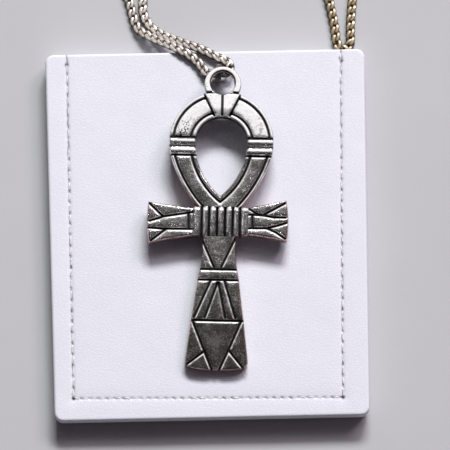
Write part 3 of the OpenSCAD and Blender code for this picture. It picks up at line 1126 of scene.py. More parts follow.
    def bands(self, x: Array, y: Array, inside: Array) -> Array:
        """The two bands a side: bars across the loop with a quarter ellipse to each side of their middles.

        Args:
            x, y: The points.
            inside: Depth of the points inside the outline.

        Returns:
            The height of each point, or NO_FORM off the bands.
        """
        p = self.plan
        off = np.abs(np.abs(y - p.band_y) - p.band_pitch / 2)
        fallen = 1 - np.sqrt(1 - ramp(off, self.band_half) ** 2)
        crest = self.body_t + self.band_proud - self.band_round * fallen
        near = (off < self.band_half) & (to_polygon(x, y, p.loop()) < 0)
        return np.where(near, crest - shoulder(inside, *self.BAND_ROLL), NO_FORM)

    def rib_gap(self, x: Array, y: Array) -> Array:
        """Distance to the middle of the nearest gap between the collar's ribs, which waver a little."""
        u = x - self.plan.wrap_shift + ripples(x, y * 0.35, self.RIB_WAVER)
        return np.min(np.abs(u[..., None] - np.array(self.RIB_GAPS)), axis=-1)

    def wrap(self, x: Array, y: Array) -> Array:
        """The collar: rounded ribs side by side, rolled over at their ends.

        Args:
            x, y: The points.

        Returns:
            The height of each point, or NO_FORM off the collar.
        """
        p = self.plan
        u = x - p.wrap_shift
        inside = -to_box(u, y, p.wrap_w, p.wrap_h)
        gap = self.rib_gap(x, y)
        narrow = self.rib_valley - self.rib_narrowing * (y / p.wrap_h)
        valley = self.rib_depth * groove(gap, narrow)
        rib = self.rib_crown * (1 - np.exp(-np.maximum(gap - narrow, 0) / self.crown_reach))
        roll = shoulder(np.maximum(p.wrap_h - np.abs(y), 0), *self.WRAP_ROLL)
        end = shoulder(np.maximum(p.wrap_w - np.abs(u), 0), *self.WRAP_END)
        height = self.body_t + self.wrap_proud - self.face_low + rib - valley - roll - end
        return np.where(inside > -SLACK, height + ripples(x, y, self.RIB_GRAIN), NO_FORM)

    def survey(self, x: Array, y: Array) -> tuple[Array, Survey]:
        """The front's height as the highest of its forms, with what the patina, polish and painted highlights
        are worked out from.

        Args:
            x, y: The points.

        Returns:
            The height of each point, and the survey.
        """
        p = self.plan
        inside, cut = np.maximum(-p.outline(x, y), 0), self.cut_distance(x, y)
        key = to_lines(x, y, p.key_lines())
        off_ring = (y < p.key_y) | (np.hypot(x, y - p.ring_y) > p.ring_r)
        off_wrap = to_box(x - p.wrap_shift, y, p.wrap_w, p.wrap_h) > 0
        plate = np.where(off_ring & off_wrap, self.plate(x, y, inside, cut), NO_FORM)
        key_trough = self.cut_depth * groove(key, self.key_cut_half, self.cut_power)
        plate = plate - np.where(y > self.key_zone, key_trough, 0)
        notch = np.where(y > p.key_y - self.notch_h, self.notch_depth * groove(key, self.notch_half), 0)
        bands, wrap = self.bands(x, y, inside), self.wrap(x, y)
        height = np.maximum.reduce([plate, self.ring(x, y) - notch, self.keystone(x, y) - notch, bands, wrap])
        on_wrap = wrap >= height
        return height, Survey(x, y, inside, cut, key, self.rib_gap(x, y), bands > plate, on_wrap)


@dataclass(frozen=True)
class CastPatinaAndHighlight:
    """Where the casting is dark with patina, polished, and painted with highlights and shine, each as a value
    of 0 to 1 that its finish reads.

    Sizes are in millimetres. What has no unit is a share of the full effect.
    """

    survey: Survey
    relief: Relief = Relief()
    cut_dark: float = 1.12
    band_gap_half: float = 0.2
    key_dark_half: float = 0.24
    rib_dark_half: float = 0.25
    wrap_foot_reach: float = 0.1
    speck_level: float = 0.26
    speck_contrast: float = 4.5
    speck_y: Pair = (14.0, 20.0)
    rim_line_reach: float = 0.075
    edge_reach: float = 0.09
    bank_off: float = 0.06
    bank_width: float = 0.1
    slope_step: float = 0.02

    # Unevenness: pitch, seed and share.
    SPECKS = ((0.19, 61, 1.0),)
    CLOUDS = ((2.4, 6, 0.12),)
    ARM_STREAKS = ((0.22, 46, 0.26),)
    BANK_BREAKS = ((0.5, 41, 0.5), (0.2, 42, 0.3))
    SHINE_MOTTLE = ((0.9, 43, 0.18), (0.28, 44, 0.2))
    BAND_BREAKS = ((0.4, 45, 0.4),)
    RIDGE_BREAKS = ((0.3, 47, 0.5),)
    LIP_BREAKS = ((0.5, 48, 0.5),)

    def darkness(self) -> Array:
        """Dark in the cuts and gaps, around the collar's foot, in specks on the loop and along its rim.

        Returns:
            The darkness of each point.
        """
        s, r, p = self.survey, self.relief, self.relief.plan
        dark = np.where(s.on_band, 0, groove(s.cut, self.cut_dark * r.cut_half, strength=1.25))
        by_key = groove(s.key, self.key_dark_half, strength=1.3)
        dark = np.maximum(dark, np.where(s.y > r.key_zone, by_key, 0))
        dark = np.maximum(dark, groove(np.abs(s.y - p.band_y), self.band_gap_half))
        dark = np.where(s.on_wrap, groove(s.gap, self.rib_dark_half, strength=1.35), dark)
        to_wrap = np.abs(to_box(s.x - p.wrap_shift, s.y, p.wrap_w, p.wrap_h))
        dark = np.maximum(dark, np.where(s.on_wrap, 0.35, 0.7) * np.exp(-to_wrap / self.wrap_foot_reach))
        pocked = 0.05 + patch(s.x, s.y, (-6.2, 15.0), (1.9, 2.0)) + 0.4 * bell(s.x - 6.3, 1.2)
        specks = self.speck_contrast * (ripples(s.x, s.y, self.SPECKS) - self.speck_level)
        specks = np.clip(specks, 0, 1) * np.clip(pocked, 0, 1)
        on_crown = (s.y > self.speck_y[0]) & (s.y < self.speck_y[1])
        dark = np.maximum(dark, np.where(on_crown, specks, 0))
        rim_line = 0.85 * bell(s.inside, self.rim_line_reach) * ramp(s.y - 9, 5)
        return np.clip(np.maximum(dark, np.where(s.on_band, 0, rim_line)), 0, 1)

    def polish(self) -> Array:
        """Polish that grows towards the loop and fades towards the foot, with bright edges and streaked arms;
        the growth and fading, the left arm lighter than the right and the collar lighter towards its top are
        painted light.

        Returns:
            The polish of each point.
        """
        s, r, p = self.survey, self.relief, self.relief.plan
        # Painted light: the polish rises towards the loop and falls towards the foot.
        polish = 0.4 + 0.52 * ramp(s.y - 12.0, 4.0) - 0.44 * ramp(-(s.y + 5.0), 11.0)
        on_arm = (np.abs(s.x - p.wrap_shift) > p.wrap_w) & (np.abs(s.y) < r.arm_zone)
        # Painted light: the left arm is lighter than the right.
        arms = 0.2 - 0.1 * np.sign(s.x) + ripples(s.x * 0.35, s.y, self.ARM_STREAKS)
        polish = polish + ripples(s.x, s.y, self.CLOUDS) + np.where(on_arm, arms, 0)
        edge = np.exp(-np.minimum(s.inside, np.maximum(s.cut - r.cut_half, 0)) / self.edge_reach)
        # Painted light: the collar grows lighter towards its top.
        polish = polish + 0.3 * edge + np.where(s.on_wrap, 0.38 + 0.2 * s.y / p.wrap_h, 0)
        return np.clip(polish, 0, 1)

    def bank_highlights(self) -> Array:
        """Painted highlight on the banks: a thin bright line along the lower side of each cut, strongest
        where it faces up the pendant, towards the light.

        Returns:
            The painted highlight of each point.
        """
        s, r, e = self.survey, self.relief, self.slope_step
        rise = (r.cut_distance(s.x, s.y + e) - r.cut_distance(s.x, s.y - e)) / (2 * e)
        line = bell(s.cut - r.cut_half - self.bank_off, self.bank_width)
        patchy = 1.3 + ripples(s.x, s.y, self.BANK_BREAKS)
        return np.clip(line * ramp(-rise - 0.08, 0.35) * patchy, 0, 1)

    def painted_shine(self) -> Array:
        """Painted shine: the loop above its bands, the keystone and the ring are painted bright, as a
        reflected light would make them.

        The painted shine is less beside the hole's cut, over the keystone's tip, just above the bands, low on
        the loop's left and along the keystone's sides, and mottled in all of these; these are painted shade.

        Returns:
            The painted shine of each point.
        """
        s, p = self.survey, self.relief.plan
        x, y = s.x, s.y
        mottle = ripples(x, y, self.SHINE_MOTTLE)
        inner = to_polygon(x, y, p.inner_cut())
        bevel = bell(np.maximum(inner - 0.1, 0), 0.42) * (inner > 0) * (s.cut < 1.5) * (y < 19.5)
        tip = ramp(18.9 - y, 1.2) * (np.abs(x) < 2.0) * (y > 17.5)
        foot = bell(np.maximum(y - p.band_y - 1.9, 0), 0.35)
        low_left = 0.5 * patch(x, y, (-6.6, 14.6), (1.6, 1.5))
        flank = bell(s.key - 0.3, 0.17) * (y < 20.4) * (y > 17.2) * (np.abs(x) > 0.6)
        shade = 0.85 * bevel + 0.75 * tip * (0.8 + mottle * 2) + 0.5 * foot * (0.6 + mottle * 3)
        shade = shade + low_left * (0.3 + mottle * 2) + flank * (0.5 + mottle * 3)
        return np.clip(ramp(y - p.band_y - 1.6, 0.5) * (1.06 + mottle - shade), 0, 1)

    def collar(self) -> Array:
        """Painted highlights on the collar: the ribs' upper ends, one side of each rib and a lip along the
        foot.

        Returns:
            The painted highlight of each point.
        """
        s, r, p = self.survey, self.relief, self.relief.plan
        caps = 0.9 * bell(p.wrap_h - 0.42 - s.y, 0.2) * ramp(s.gap - 0.24, 0.12)
        beside = s.x - p.wrap_shift - np.array(r.RIB_GAPS + (-4.5,))[:, None]
        ridge = bell(beside - 0.42, 0.12).max(axis=0) * (0.45 + ripples(s.x, s.y * 0.4, self.RIDGE_BREAKS))
        lip = bell(p.wrap_h - 0.16 + s.y, 0.1) * (0.7 + ripples(s.x, s.y, self.LIP_BREAKS))
        return np.where(s.on_wrap, np.clip(np.maximum.reduce([caps, ridge, lip]), 0, 1), 0)

    def wear_and_highlight(self) -> Array:
        """The wear and painted highlight: the most of the bank highlights, the painted shine and the collar's
        highlights, and on the bands a painted highlight along each band's upper slope.

        Returns:
            The wear and painted highlight of each point.
        """
        s, r, p = self.survey, self.relief, self.relief.plan
        bank_highlights = np.where(s.on_wrap | s.on_band | (s.y > r.key_zone), 0, self.bank_highlights())
        off_middle = (np.abs(s.y - p.band_y) - p.band_pitch / 2) * np.sign(s.y - p.band_y)
        on_top = 0.9 * bell(off_middle - 0.16, 0.2) * (1 + ripples(s.x, s.y, self.BAND_BREAKS))
        wear_and_highlight = np.where(s.on_band, np.clip(on_top, 0, 1), np.maximum(bank_highlights, self.painted_shine()))
        return np.maximum(wear_and_highlight, self.collar())


class WallRow(NamedTuple):
    """One row of the side walls, with what the finish reads there.

    The share of the front's height and the distance inwards from the outline place it, and the next two do so
    on the ring's lip. Then come its darkness, what the two holes add to that, its tint and the lip's painted
    highlight.
    """

    share: float
    inset: float
    lip_share: float
    lip_inset: float
    cut: float
    hole_cut: float
    tint: float
    lip_highlight: float


@dataclass(frozen=True)
class AnkhCasting:
    """The cast ankh with its ring, and the tube bail soldered to its back."""

    plan: Plan = Plan()
    relief: Relief = Relief()
    placing: Placing = Placing()
    grid: float = 0.085
    grid_x: Pair = (-12.9, 12.3)
    grid_y: Pair = (-24.9, 26.2)
    border_share: float = 0.35
    hole_near: float = 0.12
    lip_from: float = 0.5
    side_polish: float = 0.55
    sharp_deg: float = 62.0
    bail_r: float = 1.45
    bail_wall: float = 0.35
    bail_l: float = 1.0
    bail_shift: float = 0.8
    bail_sink: float = 0.2
    bail_up: float = 0.475
    bail_square: float = 0.45
    bail_level: float = 0.45

    # The side walls from the front down. On the ring's hole a thin lip stands into the hole, with a painted
    # highlight on two of its rows.
    WALL = (
        WallRow(0.8, 0.0, 0.86, -0.05, 0.08, 0.85, 0.6, 0.0),
        WallRow(0.6, 0.0, 1.02, -0.15, 0.1, 0.7, 0.55, 1.0),
        WallRow(0.5, 0.0, 0.94, -0.24, 0.12, 0.7, 0.5, 0.8),
        WallRow(0.4, 0.0, 0.4, -0.02, 0.2, 0.6, 0.45, 0.0),
        WallRow(0.08, 0.03, 0.08, 0.03, 0.5, 0.3, 0.35, 0.0),
        WallRow(0.0, 0.16, 0.0, 0.16, 0.65, 0.0, 0.2, 0.0),
    )

    # Unevenness of the warm tarnish: pitch, seed and share.
    TARNISH = ((1.9, 52, 1.0),)

    def snapped(self, x: Array, y: Array, inset: Array | float = 0.0) -> tuple[Array, Array]:
        """Moves points onto the outline, or onto the line a little inside it, along the outline's own slope.

        Args:
            x, y: The points.
            inset: How far inside the outline they end.

        Returns:
            The moved X and Y.
        """
        e, pace, least_slope, rounds = 0.004, 0.9, 0.4, 3
        outline = self.plan.outline
        for _ in range(rounds):
            d = outline(x, y) + inset
            gx = (outline(x + e, y) - outline(x - e, y)) / (2 * e)
            gy = (outline(x, y + e) - outline(x, y - e)) / (2 * e)
            size = np.maximum(np.hypot(gx, gy), least_slope)
            x, y = x - pace * d * gx / size**2, y - pace * d * gy / size**2
        return x, y

    def front(self) -> tuple[Array, Array, Array]:
        """A square grid over the outline, its border moved onto the outline.

        Returns:
            X and Y of the vertices, the quads, and the border's edges with the face on their left.
        """
        xs, ys = np.arange(*self.grid_x, self.grid), np.arange(*self.grid_y, self.grid)
        x, y = np.meshgrid(xs, ys)
        keep = self.plan.outline(x, y) < self.border_share * self.grid
        cells = keep[:-1, :-1] & keep[:-1, 1:] & keep[1:, :-1] & keep[1:, 1:]
        quads = grid_faces(*x.shape)[cells.ravel()]
        used, numbers = np.unique(quads, return_inverse=True)
        quads = numbers.reshape(quads.shape)
        x, y = x.ravel()[used], y.ravel()[used]
        edges = np.concatenate([quads[:, [k, (k + 1) % 4]] for k in range(4)])
        key = edges[:, 0] * len(used) + edges[:, 1]
        back = edges[:, 1] * len(used) + edges[:, 0]
        border = edges[~np.isin(key, back)]
        rim = np.unique(border)
        x[rim], y[rim] = self.snapped(x[rim], y[rim])
        return np.stack([x, y], axis=1), quads, border

    def tint(self, s: Survey) -> Array:
        """Warm tint: a line along the outline that fades up the loop, and soft patches on the lower half.

        Args:
            s: The survey of the front.

        Returns:
            The tint of each point.
        """
        patches = 0.14 * np.clip(ripples(s.x, s.y, self.TARNISH) + 0.25, 0, 1) * ramp(2 - s.y, 6)
        return np.maximum(bell(s.inside, 0.2) * np.clip((10 - s.y) / 6, 0.1, 1), patches)

    def casting(self) -> Piece:
        """The casting's mesh: the front, side walls with a small chamfer behind, and a flat back.

        Returns:
            The new piece.
        """
        flat, quads, border = self.front()
        height, survey = self.relief.survey(flat[:, 0], flat[:, 1])
        rim = np.unique(border)
        number = np.full(len(flat), -1)
        number[rim] = np.arange(len(rim))
        wall, rx, ry = number[border], flat[rim, 0], flat[rim, 1]
        in_ring = np.abs(self.plan.ring_hole(rx, ry)) < self.hole_near
        in_loop = np.abs(to_polygon(rx, ry, self.plan.hole())) < self.hole_near
        inner = np.where(in_ring | in_loop, 1.0, 0.0)
        lipped = in_ring * ramp(ry - self.plan.ring_y + self.lip_from, 2 * self.lip_from)
        patina_and_highlight = CastPatinaAndHighlight(survey, self.relief)
        # Darkness is patina; polish carries painted light as well, and wear is mostly painted highlight.
        cut, polish, wear_and_highlight = patina_and_highlight.darkness(), patina_and_highlight.polish(), patina_and_highlight.wear_and_highlight()
        cut[rim] = np.maximum(cut[rim], 0.75 * in_ring)
        wear_and_highlight[rim] = wear_and_highlight[rim] * (1 - in_ring)
        points, faces = [np.column_stack([flat, height])], [quads]
        values = {"cut": [cut], "polish": [polish], "tint": [self.tint(survey)], "wear_and_highlight": [wear_and_highlight]}
        above, first = border, len(flat)
        for row in self.WALL:
            x, y = self.snapped(rx, ry, row.inset + lipped * (row.lip_inset - row.inset))
            z = height[rim] * (row.share + lipped * (row.lip_share - row.share))
            points.append(np.column_stack([x, y, z]))
            below = first + wall
            faces.append(np.stack([above[:, 1], above[:, 0], below[:, 0], below[:, 1]], axis=1))
            above, first = below, first + len(rim)
            # Painted highlight on the ring's lip: in its rows the holes add no darkness.
            lip_highlit = lipped * (row.lip_highlight > 0)
            values["cut"].append(row.cut + row.hole_cut * inner * (1 - lip_highlit))
            values["polish"].append(np.full(len(rim), self.side_polish))
            values["tint"].append(row.tint * (1 - 0.7 * inner))
            values["wear_and_highlight"].append(row.lip_highlight * lipped)
        faces.append(self.back_faces(points[-1][:, :2], wall, first - len(rim)))
        looks = {key: np.concatenate(parts) for key, parts in values.items()}
        placed = self.placing.place(np.vstack(points))
        piece = make_piece("ankh_casting", placed, np.vstack(faces), looks, self.sharp_deg)
        return Finish.SILVER.put_on(piece)

    def back_faces(self, rim: Array, edges: Array, first: int) -> Array:
        """Triangles over the flat back, from the border alone.

        Args:
            rim: X and Y of the border's vertices.
            edges: The border's edges, as numbers in rim.
            first: Number of the border's first vertex in the piece.

        Returns:
            The triangles, facing down, each with its last number repeated.
        """
        found = geometry.delaunay_2d_cdt([Vector(p) for p in rim.tolist()], edges.tolist(), [], 1, 1e-7)
        source = np.array([ids[0] if ids else -1 for ids in found[3]])
        triangles = source[np.array(found[2])]
        triangles = triangles[(triangles >= 0).all(axis=1)]
        middle = rim[triangles].mean(axis=1)
        triangles = triangles[self.plan.outline(middle[:, 0], middle[:, 1]) < 0]
        a, b, c = (rim[triangles[:, k]] for k in range(3))
        turns = (b[:, 0] - a[:, 0]) * (c[:, 1] - a[:, 1]) - (b[:, 1] - a[:, 1]) * (c[:, 0] - a[:, 0])
        triangles = np.where((turns > 0)[:, None], triangles[:, ::-1], triangles) + first
        return np.column_stack([triangles, triangles[:, 2]])

    def squared(self, wave: Array) -> Array:
        """A wave with its sides steepened, which turns a circle into a square with round corners."""
        return np.sign(wave) * np.abs(wave) ** self.bail_square

    def bail(self) -> Piece:
        """The tube bail: a rounded wall section turned about the line of the chain.

        Returns:
            The new piece.
        """
        p, around, section = self.plan, 64, 20
        centre_y = p.ring_y + np.sqrt((p.ring_hole_r + self.bail_up) ** 2 - self.bail_shift**2)
        t = np.linspace(0, 2 * np.pi, section, endpoint=False)
        along = self.bail_l / 2 * self.squared(np.cos(t))
        radius = self.bail_r - self.bail_wall / 2 + self.bail_wall / 2 * self.squared(np.sin(t))
        a = np.linspace(0, 2 * np.pi, around, endpoint=False)[:, None]
        x = np.broadcast_to(along - self.bail_shift, (around, section))
        y = centre_y + radius * np.cos(a)
        z = self.bail_sink - self.bail_r + radius * np.sin(a)
        points = self.placing.place(np.stack([x, y, z], axis=-1).reshape(-1, 3))
        # Painted shade: the bail is darkened all over, as it lies in shade behind the ring.
        level = np.full(len(points), self.bail_level)
        looks = {"cut": level * 0.9, "polish": level, "tint": level}
        piece = make_piece("tube_bail", points, grid_faces(around, section, True, True)[:, ::-1], looks)
        return Finish.SILVER.put_on(piece)

    def build(self) -> list[Piece]:
        """Builds the casting and its bail.

        Returns:
            Both pieces.
        """
        casting, bail = self.casting(), self.bail()
        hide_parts("pendant")
        return [casting, bail]


# The chain and its clasp


@dataclass(frozen=True)
class CurbChain:
    """Flat curb chain: saddle-shaped oval links that pass through each other, along the CAD chain's route."""

    half_length: float = 1.04
    half_width: float = 0.48
    twist: float = 0.27
    wire_r: float = 0.3
    flat_z: float = 0.37
    pitch: float = 1.37
    segments: int = 14
    sides: int = 6
    start_gap: float = 2.45
    end_gap: float = 1.1
    half_look: float = 0.55
    sharp_deg: float = 40.0
    # Painted shade on the links behind the ring: its middle, reach and flattening.
    ring_shade_at: Triple = (2.9, 24.4, 4.5)
    ring_shade_r: float = 2.9
    ring_shade_flat: float = 0.3
    # Painted warm light on the chain's right end: where it starts and over how far it grows.
    warm_light_from: float = 8.0
    warm_light_over: float = 14.0

    # Unevenness: pitch, seed and share.
    POLISH_CLOUDS = ((3.0, 21, 0.4),)
    WARM_LIGHT_CLOUDS = ((5.0, 22, 0.15),)

    # The way of the chain, as in the CAD model: X, Y and Z of given points.
    ROUTE = (
        (8.6, 119.3, 0.6), (14.7, 117.7, 0.6), (21, 113.6, 0.6), (26, 107.4, 0.6),
        (28.6, 100, 0.6), (29, 86, 0.6), (28.6, 70, 0.6), (27, 55, 0.6),
        (25, 42, 0.6), (24.3, 36.1, 0.6), (24.15, 32.8, 0.6), (23.8, 31.8, 0.6),
        (23, 31.4, 0.6), (22.2, 31.8, 0.6), (21.85, 32.8, 0.6), (21.5, 36.1, 0.6),
        (20.2, 44, 0.6), (19.2, 58, 0.6), (19, 72, 0.6), (19, 86, 0.6),
        (18.6, 99.5, 0.6), (15.9, 104.6, 0.6), (11.2, 108.2, 0.6), (5.5, 109.5, 0.6),
        (-0.2, 108.2, 0.6), (-4.9, 104.6, 0.6), (-7.6, 99.5, 0.6), (-8, 86, 0.6),
        (-8, 72, 0.6), (-8.3, 57, 0.6), (-9.4, 45, 0.6), (-10.1, 40, 0.6),
        (-9.9, 37.7, 0.65), (-9, 35.9, 0.95), (-7.5, 34.5, 1.65), (-5.8, 33.4, 2.5),
        (-4, 32.4, 3.45), (-2.4, 31.6, 4.15), (-0.7, 30.8, 4.62), (0.8, 30, 4.77),
        (1.9, 29.4, 4.86), (2.9, 28.9, 4.93), (3.75, 28.32, 5.05), (4.1, 27.53, 5.2),
        (3.8, 26.73, 5.38), (3, 26.4, 5.49), (2.1, 26.41, 5.5), (1.2, 26.38, 5.4),
        (0.4, 26.63, 5.1), (-0.3, 27.43, 4.85), (-0.9, 28.3, 4.7), (-1.8, 29.2, 4.65),
        (-3.1, 30.2, 4.65), (-4.5, 31, 4.5), (-6.1, 32, 3.7), (-7.7, 33, 2.7),
        (-9.7, 34.3, 1.45), (-11.1, 35.7, 0.75), (-11.8, 37.8, 0.6), (-12.5, 40.8, 0.6),
        (-14.4, 47, 0.6), (-16.6, 58, 0.6), (-17.8, 72, 0.6), (-18, 86, 0.6),
        (-17.6, 100, 0.6), (-15, 107.4, 0.6), (-10, 113.6, 0.6), (-3.7, 117.7, 0.6),
        (2.4, 119.3, 0.6),
    )

    def route(self, steps: int = 40) -> Array:
        """The smooth line through the route: on each stretch a cubic with slopes from the points beside it.

        Args:
            steps: Points worked out on each stretch.

        Returns:
            The line's points.
        """
        given = np.array(self.ROUTE, float)
        a, b = np.vstack([given[:1], given[:-2]]), given[:-1]
        c, d = given[1:], np.vstack([given[2:], given[-1:]])
        t = (np.arange(steps) / steps)[None, :, None]
        a, b, c, d = (v[:, None, :] for v in (a, b, c, d))
        square, cube = 2 * a - 5 * b + 4 * c - d, 3 * b - a - 3 * c + d
        line = 0.5 * (2 * b + (c - a) * t + square * t**2 + cube * t**3)
        return np.vstack([line.reshape(-1, 3), given[-1:]])

    @staticmethod
    def along_line(at: Array, length: Array, line: Array) -> Array:
        """Points at those lengths along a line of points whose own lengths are given."""
        return np.stack([np.interp(at, length, line[:, k]) for k in range(3)], axis=1)

    def frames(self) -> tuple[Array, Array, Array, Array]:
        """Where each link sits, at even lengths along the route.

        Returns:
            Middle, direction along, direction across and direction up of each link.
        """
        line = self.route()
        length = np.concatenate([[0], np.cumsum(np.linalg.norm(np.diff(line, axis=0), axis=1))])
        first, last = self.start_gap, length[-1] - self.end_gap
        count = int(round((last - first) / self.pitch)) + 1
        at, look = np.linspace(first, last, count), self.half_look
        middle = self.along_line(at, length, line)
        along = unit(self.along_line(at + look, length, line) - self.along_line(at - look, length, line))
        across = unit(np.cross([0.0, 0.0, 1.0], along))
        return middle, along, across, np.cross(along, across)

    def link(self) -> Array:
        """One link about the origin.

        Its middle line is (a cos t, b sin t, h sin 2t), an oval bent like a saddle. A round wire follows it,
        filed flat on top and below.

        Returns:
            The vertices, ring by ring.
        """
        a, b, h = self.half_length, self.half_width, self.twist
        t = np.arange(self.segments) * 2 * np.pi / self.segments
        path = np.stack([a * np.cos(t), b * np.sin(t), h * np.sin(2 * t)], axis=1)
        run = unit(np.stack([-a * np.sin(t), b * np.cos(t), 2 * h * np.cos(2 * t)], axis=1))
        out = np.stack([b * np.cos(t), a * np.sin(t), 0 * t], axis=1)
        out = unit(out - run * np.sum(out * run, axis=1)[:, None])
        points = tube_along(path, out, np.cross(out, run), self.wire_r, self.sides)
        points[:, 2] = np.clip(points[:, 2], -self.flat_z, self.flat_z)
        return points

    def looks(self, points: Array, high: Array) -> dict[str, Array]:
        """What the finish reads: dark low on the links, painted shade where they pass behind the ring,
        painted warm light towards the right that also darkens them there, and a painted highlight on their
        top flats.

        Args:
            points: The chain's vertices.
            high: Height of each vertex in its own link, from -1 to 1.

        Returns:
            The values by their names.
        """
        x, y = points[:, 0], points[:, 1]
        deep = np.clip(1.3 - 1.5 * high, 0, 1)
        # Painted shade on the links that pass behind the ring.
        from_ring = (points - self.ring_shade_at) * [1, 1, self.ring_shade_flat]
        painted_ring_shade = np.exp(-((np.linalg.norm(from_ring, axis=1) / self.ring_shade_r) ** 4))
        # Painted warm light that grows towards the chain's right end; there it also darkens the links and
        # takes off polish.
        warm_light = ramp(x - self.warm_light_from, self.warm_light_over) * 0.95 + 0.05 + ripples(x, y, self.WARM_LIGHT_CLOUDS)
        polish = 0.33 + ripples(x, y, self.POLISH_CLOUDS) + 0.25 * high
        # Painted highlight on the links' top flats.
        flat_highlight = np.clip(high * 3 - 2.25, 0, 0.75)
        return {
            "cut": np.clip(0.8 * deep + painted_ring_shade + 0.14 * warm_light, 0, 1),
            "polish": np.clip(polish - 0.3 * warm_light, 0, 1),
            "tint": np.clip(warm_light, 0, 1),
            "wear_and_highlight": flat_highlight * (1 - painted_ring_shade) * (1 - 0.4 * warm_light),
        }

    def build(self) -> list[Piece]:
        """All links as one piece: each vertex is the link's middle plus its own place along the link's axes.

        Returns:
            The piece, in a list.
        """
        middle, along, across, up = self.frames()
        link = self.link()
        x, y, z = (link[None, :, k, None] for k in range(3))
        turned = x * along[:, None] + y * across[:, None] + z * up[:, None]
        points = (middle[:, None] + turned).reshape(-1, 3)
        one = grid_faces(self.segments, self.sides, True, True)
        faces = (one[None] + (np.arange(len(middle)) * len(link))[:, None, None]).reshape(-1, 4)
        high = np.tile(np.clip(link[:, 2] / self.flat_z, -1, 1), len(middle))
        piece = make_piece("curb_chain", points, faces, self.looks(points, high), self.sharp_deg)
        Finish.CHAIN.put_on(piece)
        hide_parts("chain")
        log.info("curb_chain: %d links", len(middle))
        return [piece]


